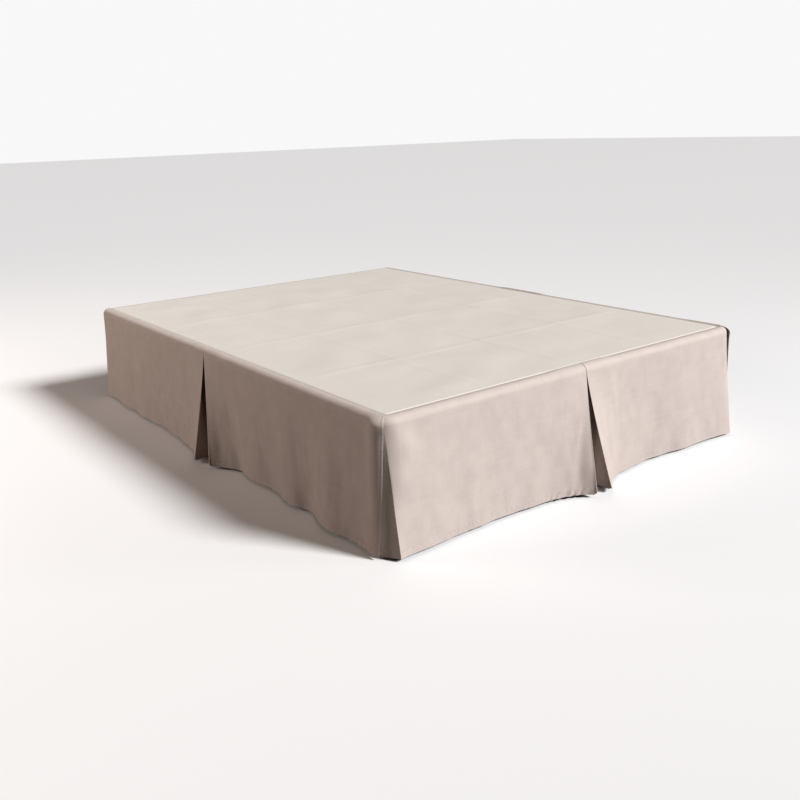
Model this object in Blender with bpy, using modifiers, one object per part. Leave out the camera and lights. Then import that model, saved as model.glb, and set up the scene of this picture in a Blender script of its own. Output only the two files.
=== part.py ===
"""A tailored bed skirt on a plain bed base, in metres, +Z up.

The skirt is a flat deck that lies on a box spring, and three drops that meet its edge at the seam:
one for each long side and one for the foot, each with an inverted box pleat at its middle. The ends
of the foot drop turn round the corners and hang behind the side drops. The head end is open. Under
the skirt are the box spring, the steel frame that carries it, and the frame's legs on plastic glides.

The frame of reference has its origin on the floor under the middle of the whole, the foot of the bed
towards -Y and the head towards +Y. A drop is made of lines of cloth that run from the seam down to
the hem. Places on a drop are measured along its face from the corner at the foot, or for the foot
drop from the left corner, and out from the face of the box spring.
"""

import math
from typing import NamedTuple

import bmesh
import bpy
import numpy as np
from mathutils import Matrix, Vector

# Driving dimensions of the bed base
SPRING_WIDTH = 1.524
SPRING_LENGTH = 2.032
SPRING_TOP = 0.387
SPRING_HEIGHT = 0.203
CORNER_RADIUS = 0.050
SHOULDER_RADIUS = 0.020
UNDER_EDGE_RADIUS = 0.006
FIT = 0.0003

RAIL_LEAF = 0.038
CROSS_LEAF = 0.030
STEEL_THICK = 0.003
RAIL_INSET = 0.072
RAIL_END_INSET = 0.060
CROSS_RAIL_PLACES = {"foot": 0.130, "middle": 1.016, "head": 1.902}
LEG_RADIUS = 0.014
LEG_PLACES = {"foot": 0.210, "middle": 1.090, "head": 1.822}
GLIDE_RADIUS = 0.021
GLIDE_HEIGHT = 0.028
GLIDE_BEVEL = 0.003

# Driving dimensions of the cloth
CLOTH_THICK = 0.001
DROP_CLEARANCE = 0.0022
LAYER_PITCH = 0.002
HEM_HEIGHT = 0.008
HEM_RISE_PER_FLARE = 0.04
FOOT_FLARE = 0.107
SEAM_INSET = 0.030
DECK_GAP = 0.0005
SEAM_PITCH = 0.0014
PLEAT_DEPTH = 0.075
SIDE_END = 0.008
UNDERLAP_END = -0.090
FOOT_CREASE = 0.057
END_STANDOFF = 0.005
FOLD_TIP = 0.001
FOLD_GAP = 0.0009
HEM_CREASE = 0.0015
FLARE_POWER = 1.12
COLUMN_STEP = 0.050
TURN_COLUMNS = 4

# Rows of a drop under the shoulder, as heights over the floor
DROP_ROWS = (0.330, 0.283, 0.235, 0.188, 0.140, 0.093, 0.048)
SHOULDER_ANGLES = (0.0, 30.0, 60.0, 90.0)

SPRING_BOTTOM = SPRING_TOP - SPRING_HEIGHT
BED_SHIFT = FOOT_FLARE / 2
FOOT_FACE = BED_SHIFT - SPRING_LENGTH / 2
RAIL_X = SPRING_WIDTH / 2 - RAIL_INSET
LEG_X = RAIL_X - STEEL_THICK - FIT - LEG_RADIUS
RAIL_TOP = SPRING_BOTTOM - FIT
CROSS_TOP = RAIL_TOP - STEEL_THICK - FIT


class Hem(NamedTuple):
    """A place on a hem seen from above: along the face, and out from it."""

    along: float
    out: float


class Line(NamedTuple):
    """A line of cloth from seam to hem: its place and layer at the seam, its place at the hem."""

    top: float
    layer: float
    along: float
    out: float


# The long side's hem in front of the pleat, from the corner at the foot
SIDE_FRONT_HEM = (
    Hem(0.008, 0.018), Hem(0.057, 0.019), Hem(0.110, 0.015), Hem(0.174, 0.018), Hem(0.236, 0.031),
    Hem(0.290, 0.023), Hem(0.335, 0.008), Hem(0.376, -0.001), Hem(0.411, 0.003), Hem(0.445, 0.014),
    Hem(0.481, 0.017), Hem(0.551, 0.004), Hem(0.610, 0.000), Hem(0.660, 0.007), Hem(0.710, 0.010),
    Hem(0.760, 0.008), Hem(0.820, 0.001), Hem(0.853, 0.016), Hem(0.884, 0.034), Hem(0.922, 0.068),
)
# The same hem behind the pleat, up to the head
SIDE_REAR_HEM = (
    Hem(1.000, 0.083), Hem(1.050, 0.060), Hem(1.122, 0.037), Hem(1.218, 0.024), Hem(1.313, 0.014),
    Hem(1.389, 0.012), Hem(1.468, 0.012), Hem(1.538, 0.017), Hem(1.610, 0.021), Hem(1.700, 0.013),
    Hem(1.800, 0.020), Hem(1.900, 0.011), Hem(2.026, 0.016),
)
# The foot's hem: the end behind the side drop, the turn at the corner, and up to the pleat
FOOT_UNDERLAP_HEM = (Hem(-0.008, -0.110), Hem(-0.012, -0.050), Hem(-0.011, -0.010), Hem(0.020, 0.039))
FOOT_LEFT_HEM = (
    Hem(0.020, 0.039), Hem(0.050, 0.034), Hem(0.128, 0.032), Hem(0.190, 0.028), Hem(0.250, 0.024),
    Hem(0.343, 0.021), Hem(0.453, 0.022), Hem(0.530, 0.028), Hem(0.592, 0.034), Hem(0.645, 0.046),
    Hem(0.688, 0.066), Hem(0.722, 0.100),
)
FOOT_RIGHT_HEM = (
    Hem(0.782, 0.103), Hem(0.815, 0.075), Hem(0.859, 0.045), Hem(0.900, 0.028), Hem(0.945, 0.022),
    Hem(1.033, 0.012), Hem(1.090, 0.007), Hem(1.150, 0.013), Hem(1.250, 0.024), Hem(1.360, 0.026),
    Hem(1.440, 0.031), Hem(1.504, 0.039),
)
# The hem inside a pleat, measured from the pleat's centre: return, back, return
SIDE_PLEAT_HEM = (
    Hem(-0.080, 0.036), Hem(-0.071, 0.006), Hem(-0.054, -0.010), Hem(-0.016, -0.013),
    Hem(0.014, 0.004), Hem(0.005, 0.034),
)
FOOT_PLEAT_HEM = (
    Hem(-0.041, 0.060), Hem(-0.028, 0.018), Hem(-0.012, -0.008), Hem(0.012, -0.010),
    Hem(0.030, 0.010), Hem(0.022, 0.055),
)
# Where those lines start at the seam, in pleat depths from its centre, and in which layer
PLEAT_TOPS = ((-0.55, 1.0), (-1.0, 0.5), (-0.40, 0.0), (0.40, 0.0), (1.0, 0.5), (0.55, 1.0))
INNER_FOLDS = (1, 4)


class Face:
    """One face of the box spring, with the places along it that a drop's lines start from."""

    def __init__(self, corner, along, outward, length, end_standoff=0.0):
        self.corner = Vector(corner)
        self.along = Vector(along)
        self.outward = Vector(outward)
        self.length = length
        self.end_standoff = end_standoff

    def at(self, along, out):
        """The place at a distance along the face and out from it."""
        return self.corner + self.along * along + self.outward * out

    def rim(self, along):
        """The place on the rounded outline and its outward direction, on past either corner."""
        near_end = along < self.length / 2
        reach = along if near_end else self.length - along
        side = -1.0 if near_end else 1.0
        if reach >= CORNER_RADIUS:
            return self.at(along, 0.0), self.outward
        turn = min((CORNER_RADIUS - reach) / CORNER_RADIUS, math.pi / 2)
        past = CORNER_RADIUS - reach - turn * CORNER_RADIUS
        middle = CORNER_RADIUS if near_end else self.length - CORNER_RADIUS
        direction = self.outward * math.cos(turn) + self.along * side * math.sin(turn)
        centre = self.at(middle, -CORNER_RADIUS)
        return centre + direction * CORNER_RADIUS - self.outward * past, direction


HALF_WIDTH = SPRING_WIDTH / 2
LEFT_FACE = Face((-HALF_WIDTH, FOOT_FACE), (0, 1), (-1, 0), SPRING_LENGTH, END_STANDOFF)
RIGHT_FACE = Face((HALF_WIDTH, FOOT_FACE), (0, 1), (1, 0), SPRING_LENGTH, END_STANDOFF)
END_FACE = Face((-HALF_WIDTH, FOOT_FACE), (1, 0), (0, -1), SPRING_WIDTH)


def material(name, color, roughness, metallic=0.0):
    """A Principled material with the sub-part's colour."""
    made = bpy.data.materials.new(name)
    made.use_nodes = True
    shader = made.node_tree.nodes["Principled BSDF"]
    shader.inputs["Base Color"].default_value = (*color, 1.0)
    shader.inputs["Roughness"].default_value = roughness
    shader.inputs["Metallic"].default_value = metallic
    return made


def place(name, data, look, collection, location=(0, 0, 0)):
    """Put a mesh or curve into the collection as one named object."""
    made = bpy.data.objects.new(name, data)
    made.location = location
    data.materials.append(look)
    collection.objects.link(made)
    return made


def smooth_hem(hem, shares):
    """Places on a smooth curve through the rows of a hem table, at shares of its length."""
    points = np.array(hem)
    chord = np.hypot(*np.diff(points, axis=0).T)
    travel = np.concatenate(([0.0], np.cumsum(chord)))
    slope = np.gradient(points, travel, axis=0)
    places = []
    for distance in np.asarray(shares) * travel[-1]:
        row = min(int(np.searchsorted(travel, distance, side="right")) - 1, len(chord) - 1)
        span = chord[row]
        t = (distance - travel[row]) / span
        place_on = (points[row] * (2 * t**3 - 3 * t**2 + 1) + points[row + 1] * (3 * t**2 - 2 * t**3)
                    + slope[row] * span * (t**3 - 2 * t**2 + t) + slope[row + 1] * span * (t**3 - t**2))
        places.append(Hem(*place_on))
    return places


def seam_places(start, end, length):
    """Places along a seam: even on the straight, and closer where it turns a corner."""
    flat_start = max(start, CORNER_RADIUS)
    flat_end = min(end, length - CORNER_RADIUS)
    flat_count = round((flat_end - flat_start) / COLUMN_STEP) + 1
    places = list(np.linspace(flat_start, flat_end, flat_count))
    if start < flat_start:
        places = list(np.linspace(start, flat_start, TURN_COLUMNS + 1))[:-1] + places
    if end > flat_end:
        places += list(np.linspace(flat_end, end, TURN_COLUMNS + 1))[1:]
    return places


def panel_lines(hem, start, end, length, layer_at):
    """The lines of a flat panel: its hem's curve is shared out as its seam is."""
    tops = seam_places(start, end, length)
    places = smooth_hem(hem, [(top - start) / (end - start) for top in tops])
    return [Line(top, layer_at(top), row.along, row.out) for top, row in zip(tops, places)]


def ramp(distance, full, none):
    """1 up to one distance, 0 from another on, and smooth between them."""
    share = min(max((none - distance) / (none - full), 0.0), 1.0)
    return share * share * (3 - 2 * share)


def fold(before, tip, after, heading):
    """The three lines of a fold: the cloth comes in on one layer and goes back on another."""
    def hem_towards(other):
        away = Vector((other.along - tip.along, other.out - tip.out)).normalized() * HEM_CREASE
        return Hem(tip.along + away.x, tip.out + away.y)

    hem_in = hem_towards(before)
    hem_out = hem_towards(after)
    setback = tip.top - heading * FOLD_TIP
    half = (before.layer - after.layer) / 2
    return [Line(setback, tip.layer + half, *hem_in), tip, Line(setback, tip.layer - half, *hem_out)]


def pleat_lines(centre, hem, flap_in, flap_out):
    """An inverted box pleat: flap, return, inner fold, back, inner fold, return, flap."""
    inner = [Line(centre + share * PLEAT_DEPTH, layer, centre + row.along, row.out)
             for (share, layer), row in zip(PLEAT_TOPS, hem)]
    first = Line(centre - FOLD_GAP, 1.5, flap_in.along, flap_in.out)
    last = Line(centre + FOLD_GAP, 1.5, flap_out.along, flap_out.out)
    front = Line(first.top, 2.0, flap_in.along - 0.02, flap_in.out - 0.02)
    rear = Line(last.top, 2.0, flap_out.along + 0.02, flap_out.out - 0.01)
    lines = fold(front, first, inner[0], 1)
    for number, line in enumerate(inner):
        if number in INNER_FOLDS:
            heading = -1 if line.top < centre else 1
            lines += fold(inner[number - 1], line, inner[number + 1], heading)
        else:
            lines.append(line)
    return lines + fold(inner[-1], last, rear, -1)


def side_lines():
    """The lines of a long side's drop, from the corner at the foot to the head."""
    centre = SPRING_LENGTH / 2

    def layer_at(top):
        return max(2 * ramp(abs(top - centre), 0.085, 0.160), ramp(top, 0.135, 0.200))

    front = panel_lines(SIDE_FRONT_HEM, SIDE_END, centre - FOLD_GAP, SPRING_LENGTH, layer_at)
    rear = panel_lines(SIDE_REAR_HEM, centre + FOLD_GAP, SPRING_LENGTH - SIDE_END, SPRING_LENGTH, layer_at)
    return front[:-1] + pleat_lines(centre, SIDE_PLEAT_HEM, front[-1], rear[0]) + rear[1:]


def foot_lines():
    """The lines of the foot's drop, with an end behind each side drop."""
    centre = SPRING_WIDTH / 2

    def layer_at(top):
        return 2 * ramp(abs(top - centre), 0.085, 0.160)

    def mirrored(lines):
        return [line._replace(top=SPRING_WIDTH - line.top, along=SPRING_WIDTH - line.along)
                for line in reversed(lines)]

    chord = [math.dist(here, there) for here, there in zip(FOOT_UNDERLAP_HEM, FOOT_UNDERLAP_HEM[1:])]
    travel = np.concatenate(([0.0], np.cumsum(chord))) / sum(chord)
    turn_start = CORNER_RADIUS * (1 - math.pi / 2)
    lap_tops = [UNDERLAP_END, *np.linspace(turn_start, CORNER_RADIUS, TURN_COLUMNS + 2), FOOT_CREASE]
    lap = []
    for top in lap_tops:
        share = (top - UNDERLAP_END) / (FOOT_CREASE - UNDERLAP_END)
        along, out = (np.interp(share, travel, column) for column in zip(*FOOT_UNDERLAP_HEM))
        lap.append(Line(top, 0.0, along, out))
    left = panel_lines(FOOT_LEFT_HEM, FOOT_CREASE, centre - FOLD_GAP, SPRING_WIDTH, layer_at)
    right = panel_lines(FOOT_RIGHT_HEM, centre + FOLD_GAP, SPRING_WIDTH - FOOT_CREASE, SPRING_WIDTH, layer_at)
    pleat = pleat_lines(centre, FOOT_PLEAT_HEM, left[-1], right[0])
    return lap[:-1] + left[:-1] + pleat + right[1:-1] + mirrored(lap)


def cloth_point(face, line, row):
    """The place of a row on a line of cloth: over the shoulder first, then down to the hem."""
    rim, outward = face.rim(line.top)
    offset = DROP_CLEARANCE + CLOTH_THICK / 2 + line.layer * LAYER_PITCH
    standoff = face.end_standoff * ramp(line.top, 0.010, 0.080)
    shoulder = SHOULDER_RADIUS + offset
    rows_over = len(SHOULDER_ANGLES) + 1
    if row == 0:
        flat = rim - outward * SEAM_INSET
        return Vector((flat.x, flat.y, SPRING_TOP + FIT + CLOTH_THICK / 2 + line.layer * SEAM_PITCH))
    if row < rows_over:
        angle = math.radians(SHOULDER_ANGLES[row - 1])
        swing = shoulder * math.sin(angle) + standoff * math.sin(angle)**2
        flat = rim + outward * (swing - SHOULDER_RADIUS)
        height = SPRING_TOP - SHOULDER_RADIUS + shoulder * math.cos(angle)
        return Vector((flat.x, flat.y, height))
    hem_height = HEM_HEIGHT + HEM_RISE_PER_FLARE * max(line.out, 0.0)
    height = (DROP_ROWS + (hem_height,))[row - rows_over]
    start = SPRING_TOP - SHOULDER_RADIUS
    share = (start - height) / (start - hem_height)
    weight = share**FLARE_POWER
    if line.out < offset and CORNER_RADIUS <= line.top <= face.length - CORNER_RADIUS:
        below = (SPRING_BOTTOM - height) / (SPRING_BOTTOM - hem_height)
        inward = ramp(1 - below, 0.0, 1.0)
        along = line.top + (line.along - line.top) * weight
        flat = face.at(along, offset + (line.out - offset) * inward)
    else:
        flat = (rim + outward * (offset + standoff)).lerp(face.at(line.along, line.out), weight)
    return Vector((flat.x, flat.y, height))


def drop(name, face, lines, look, collection):
    """One drop: a grid whose columns are the lines of cloth, thickened to a sheet."""
    columns = len(lines)
    rows = 1 + len(SHOULDER_ANGLES) + len(DROP_ROWS) + 1
    mesh = bpy.data.meshes.new(name)
    sheet = bmesh.new()
    bmesh.ops.create_grid(sheet, x_segments=columns - 1, y_segments=rows - 1, size=1.0)
    for vert in sheet.verts:
        column = round((vert.co.x + 1) / 2 * (columns - 1))
        row = round((1 - vert.co.y) / 2 * (rows - 1))
        vert.co = cloth_point(face, lines[column], row)
    bmesh.ops.recalc_face_normals(sheet, faces=sheet.faces)
    sheet.to_mesh(mesh)
    sheet.free()
    made = place(name, mesh, look, collection)
    thick = made.modifiers.new("cloth", "SOLIDIFY")
    thick.thickness = CLOTH_THICK
    thick.offset = 0.0
    thick.use_even_offset = True
    return made


def slab(name, size, centre, corner_radius, look, collection, top_radius=0.0, under_radius=0.0):
    """A block with rounded corners in plan, and with rounded rims where a radius is given."""
    mesh = bpy.data.meshes.new(name)
    block = bmesh.new()
    bmesh.ops.create_cube(block, size=1.0, matrix=Matrix.Diagonal((*size, 1.0)))
    upright = [edge for edge in block.edges if abs(edge.verts[0].co.z - edge.verts[1].co.z) > size[2] / 2]
    bmesh.ops.bevel(block, geom=upright, offset=corner_radius, segments=8, profile=0.5, affect="EDGES")
    for level, radius, segments in ((size[2] / 2, top_radius, 6), (-size[2] / 2, under_radius, 2)):
        if radius:
            rim = [edge for edge in block.edges
                   if all(abs(vert.co.z - level) < FIT / 10 for vert in edge.verts)]
            bmesh.ops.bevel(block, geom=rim, offset=radius, segments=segments, profile=0.5, affect="EDGES")
    block.to_mesh(mesh)
    block.free()
    mesh.shade_smooth()
    mesh.set_sharp_from_angle(angle=math.radians(35))
    return place(name, mesh, look, collection, centre)


def angle_bar(name, length, leaf, look, collection, location, rotation):
    """A steel angle: an outline of two leaves, drawn out along its length."""
    outline = bpy.data.curves.new(name, "CURVE")
    outline.dimensions = "2D"
    outline.fill_mode = "BOTH"
    outline.extrude = length / 2
    corners = ((0, 0), (leaf, 0), (leaf, -STEEL_THICK), (STEEL_THICK, -STEEL_THICK),
               (STEEL_THICK, -leaf), (0, -leaf))
    spline = outline.splines.new("POLY")
    spline.points.add(len(corners) - 1)
    for point, (across, up) in zip(spline.points, corners):
        point.co = (across, up, 0.0, 1.0)
    spline.use_cyclic_u = True
    made = place(name, outline, look, collection, location)
    made.rotation_euler = rotation
    return made


def post(name, radius, height, centre, look, collection, bevel=0.0):
    """An upright round post, with its rims bevelled where a bevel is given."""
    mesh = bpy.data.meshes.new(name)
    round_bar = bmesh.new()
    bmesh.ops.create_cone(round_bar, cap_ends=True, segments=16, radius1=radius, radius2=radius,
                          depth=height)
    if bevel:
        rims = [edge for edge in round_bar.edges
                if abs(edge.verts[0].co.z - edge.verts[1].co.z) < FIT / 10]
        bmesh.ops.bevel(round_bar, geom=rims, offset=bevel, segments=1, profile=0.5, affect="EDGES")
    round_bar.to_mesh(mesh)
    round_bar.free()
    mesh.shade_smooth()
    mesh.set_sharp_from_angle(angle=math.radians(35))
    return place(name, mesh, look, collection, centre)


def make_skirt(collection):
    """The deck and the three drops."""
    deck_cloth = material("deck_cloth", (0.72, 0.69, 0.64), 0.9)
    side_cloth = material("side_cloth", (0.50, 0.42, 0.37), 0.85)
    foot_cloth = material("foot_cloth", (0.50, 0.42, 0.37), 0.85)
    inset = SEAM_INSET + DECK_GAP
    flat = (SPRING_WIDTH - 2 * inset, SPRING_LENGTH - 2 * inset, CLOTH_THICK)
    middle = (0.0, BED_SHIFT, SPRING_TOP + FIT + CLOTH_THICK / 2)
    slab("deck", flat, middle, CORNER_RADIUS - inset, deck_cloth, collection)
    drop("side_drop_left", LEFT_FACE, side_lines(), side_cloth, collection)
    drop("side_drop_right", RIGHT_FACE, side_lines(), side_cloth.copy(), collection)
    drop("foot_drop", END_FACE, foot_lines(), foot_cloth, collection)


def make_base(collection):
    """The box spring and the frame under it."""
    ticking = material("ticking", (0.80, 0.78, 0.74), 0.9)
    steel = material("painted_steel", (0.05, 0.05, 0.055), 0.45, 0.6)
    plastic = material("glide_plastic", (0.03, 0.03, 0.03), 0.5)
    slab("box_spring", (SPRING_WIDTH, SPRING_LENGTH, SPRING_HEIGHT),
         (0.0, BED_SHIFT, SPRING_TOP - SPRING_HEIGHT / 2), CORNER_RADIUS, ticking, collection,
         SHOULDER_RADIUS, UNDER_EDGE_RADIUS)
    quarter = math.pi / 2
    rail_length = SPRING_LENGTH - 2 * RAIL_END_INSET
    angle_bar("side_rail_left", rail_length, RAIL_LEAF, steel, collection,
              (-RAIL_X, BED_SHIFT, RAIL_TOP), (quarter, 0, 0))
    angle_bar("side_rail_right", rail_length, RAIL_LEAF, steel, collection,
              (RAIL_X, BED_SHIFT, RAIL_TOP), (quarter, 0, 2 * quarter))
    cross_length = 2 * (RAIL_X - STEEL_THICK - FIT)
    for name, along in CROSS_RAIL_PLACES.items():
        angle_bar(f"cross_rail_{name}", cross_length, CROSS_LEAF, steel, collection,
                  (0.0, FOOT_FACE + along, CROSS_TOP), (quarter, 0, quarter))
    centre_leg = {"centre": (0.0, CROSS_RAIL_PLACES["middle"] + STEEL_THICK + FIT + LEG_RADIUS)}
    legs = {f"{side}_{name}": (sign * LEG_X, along) for side, sign in (("left", -1), ("right", 1))
            for name, along in LEG_PLACES.items()}
    for name, (x, along) in (legs | centre_leg).items():
        top = (CROSS_TOP if name == "centre" else RAIL_TOP) - STEEL_THICK - FIT
        foot = GLIDE_HEIGHT + FIT
        y = FOOT_FACE + along
        post(f"leg_{name}", LEG_RADIUS, top - foot, (x, y, (top + foot) / 2), steel, collection)
        post(f"glide_{name}", GLIDE_RADIUS, GLIDE_HEIGHT, (x, y, GLIDE_HEIGHT / 2), plastic, collection,
             GLIDE_BEVEL)


def main():
    """Clear the scene and build the skirt and its bed base."""
    for old in list(bpy.data.objects):
        bpy.data.objects.remove(old)
    collection = bpy.data.collections.new("bed_skirt_on_bed_base")
    bpy.context.scene.collection.children.link(collection)
    make_skirt(collection)
    make_base(collection)


main()
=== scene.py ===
"""Looks of a tailored bed skirt on a plain bed base.

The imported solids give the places. This script hides the plain cloth solids and builds each drop and
the deck again as a fine sheet on the same folds, with hems, seams, creases and stitches. It covers
the box spring with ticking, cords and a dust cover, and finishes the steel frame where it stands.

Places on a drop are measured along its face from the corner at the foot, or for the foot drop from
the left corner, and out from the face of the box spring. All sizes are in metres.
"""

import logging
import math
from dataclasses import dataclass, field
from enum import Enum
from typing import Callable, NamedTuple, Sequence

import bmesh
import bpy
import numpy as np
from mathutils import Matrix, Vector


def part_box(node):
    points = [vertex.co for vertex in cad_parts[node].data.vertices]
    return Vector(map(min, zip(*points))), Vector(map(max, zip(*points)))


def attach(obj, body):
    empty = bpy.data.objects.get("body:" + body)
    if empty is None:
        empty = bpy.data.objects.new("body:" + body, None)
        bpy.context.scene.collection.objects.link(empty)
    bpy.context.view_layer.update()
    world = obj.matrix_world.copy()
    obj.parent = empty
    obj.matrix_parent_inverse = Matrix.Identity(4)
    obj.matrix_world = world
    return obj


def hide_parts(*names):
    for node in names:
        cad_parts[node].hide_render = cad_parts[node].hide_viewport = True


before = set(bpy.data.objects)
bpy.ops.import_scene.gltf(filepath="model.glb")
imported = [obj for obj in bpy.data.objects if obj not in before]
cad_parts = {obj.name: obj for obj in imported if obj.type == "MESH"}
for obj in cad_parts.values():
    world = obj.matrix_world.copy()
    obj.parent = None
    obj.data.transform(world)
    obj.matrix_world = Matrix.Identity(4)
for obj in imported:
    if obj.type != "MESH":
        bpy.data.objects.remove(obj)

LOG = logging.getLogger("bed_skirt")


# Sizes taken from the frame


@dataclass(frozen=True)
class Bed:
    """The box spring's outer sizes, and the rounding of its outline and of its upper edge."""

    half_width: float
    foot: float
    head: float
    top: float
    bottom: float
    corner_radius: float = 0.050
    shoulder_radius: float = 0.020

    @property
    def length(self) -> float:
        """Length of the long side."""
        return self.head - self.foot

    @property
    def width(self) -> float:
        """Width across the foot."""
        return 2 * self.half_width

    @property
    def shoulder(self) -> float:
        """Height at which the upright side starts to round over."""
        return self.top - self.shoulder_radius

    @property
    def middle(self) -> np.ndarray:
        """The box spring's middle, seen from above."""
        return np.array([0.0, (self.foot + self.head) / 2])

    @property
    def arc_reach(self) -> np.ndarray:
        """How far the centres of the corner arcs lie from the middle, across and along."""
        return np.array([self.half_width, self.length / 2]) - self.corner_radius


def bed_from_frame() -> Bed:
    """Read the box spring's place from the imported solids.

    Returns:
        The bed's sizes.
    """
    low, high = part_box("box_spring")
    return Bed(half_width=high.x, foot=low.y, head=high.y, top=high.z, bottom=low.z)


class Side(Enum):
    """The three faces that a drop hangs on."""

    LEFT = "left"
    RIGHT = "right"
    FOOT = "foot"


@dataclass(frozen=True)
class Face:
    """One upright face of the box spring, with places measured along it and out from it."""

    bed: Bed
    side: Side

    @property
    def length(self) -> float:
        """Length of the face from corner to corner."""
        return self.bed.width if self.side is Side.FOOT else self.bed.length

    def axes(self) -> tuple[np.ndarray, np.ndarray, np.ndarray]:
        """Give the face's corner, its direction and its outward direction, seen from above."""
        if self.side is Side.FOOT:
            return np.array([-self.bed.half_width, self.bed.foot]), np.array([1.0, 0.0]), np.array([0.0, -1.0])
        sign = -1.0 if self.side is Side.LEFT else 1.0
        return np.array([sign * self.bed.half_width, self.bed.foot]), np.array([0.0, 1.0]), np.array([sign, 0.0])

    def at(self, along: np.ndarray, out: np.ndarray) -> np.ndarray:
        """Turn distances along and out into places seen from above.

        Args:
            along: Distances along the face.
            out: Distances out from the face.

        Returns:
            One row of x and y for each distance.
        """
        corner, direction, outward = self.axes()
        return corner + np.outer(along, direction) + np.outer(out, outward)

    def rim(self, along: np.ndarray) -> tuple[np.ndarray, np.ndarray]:
        """Follow the rounded outline, on past either corner.

        Args:
            along: Distances along the outline, measured as on a square corner.

        Returns:
            Places on the outline and their outward directions.
        """
        _, direction, outward = self.axes()
        radius = self.bed.corner_radius
        near = along < self.length / 2
        reach = np.where(near, along, self.length - along)
        turn = np.clip((radius - reach) / radius, 0.0, math.pi / 2)
        past = np.maximum(radius - reach, 0.0) - turn * radius
        side = np.where(near, -1.0, 1.0) * np.sin(turn)
        normal = np.outer(np.cos(turn), outward) + np.outer(side, direction)
        centre = np.where(near, radius, self.length - radius)
        arc = self.at(centre, np.full_like(along, -radius)) + normal * radius - np.outer(past, outward)
        straight = self.at(along, np.zeros_like(along))
        on_arc = (reach < radius)[:, None]
        return np.where(on_arc, arc, straight), np.where(on_arc, normal, outward)


# Node graphs and the groups that the finishes share


Color = tuple[float, float, float]
Source = bpy.types.NodeSocket | float | tuple

MILLIMETRE = 0.001
# How the uneven threads are drawn out along the warp and the weft
WARP_STRETCH = (260.0, 9.0, 1.0)
WEFT_STRETCH = (7.0, 210.0, 1.0)
# A stitch: its ends in the pitch, its sides, the channel that it sinks into, and their heights in millimetres
STITCH_ENDS = (0.42, 0.34)
STITCH_SIDES = (0.35, 0.70)
CHANNEL_WIDTH = 3.2
THREAD_HEIGHT = 0.22
CHANNEL_HEIGHT = -0.3
# The hem's fold line, and the slant, spread and width of its stitches and of its puckers
HEM_RIDGE = (0.0013, 0.10)
HEM_MARKS = ((0.0, 1.0, 0.0030), (-0.50, 1.50, 0.0042))
DIMPLE_REACH = 0.0030
HEM_MARK_HEIGHT = -0.80
# The ticking's double stripes
STRIPE_PITCH = 0.036
STRIPE_APART = 0.10
STRIPE_WIDTH = 0.035
STRIPE_STRENGTH = 0.55


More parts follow.
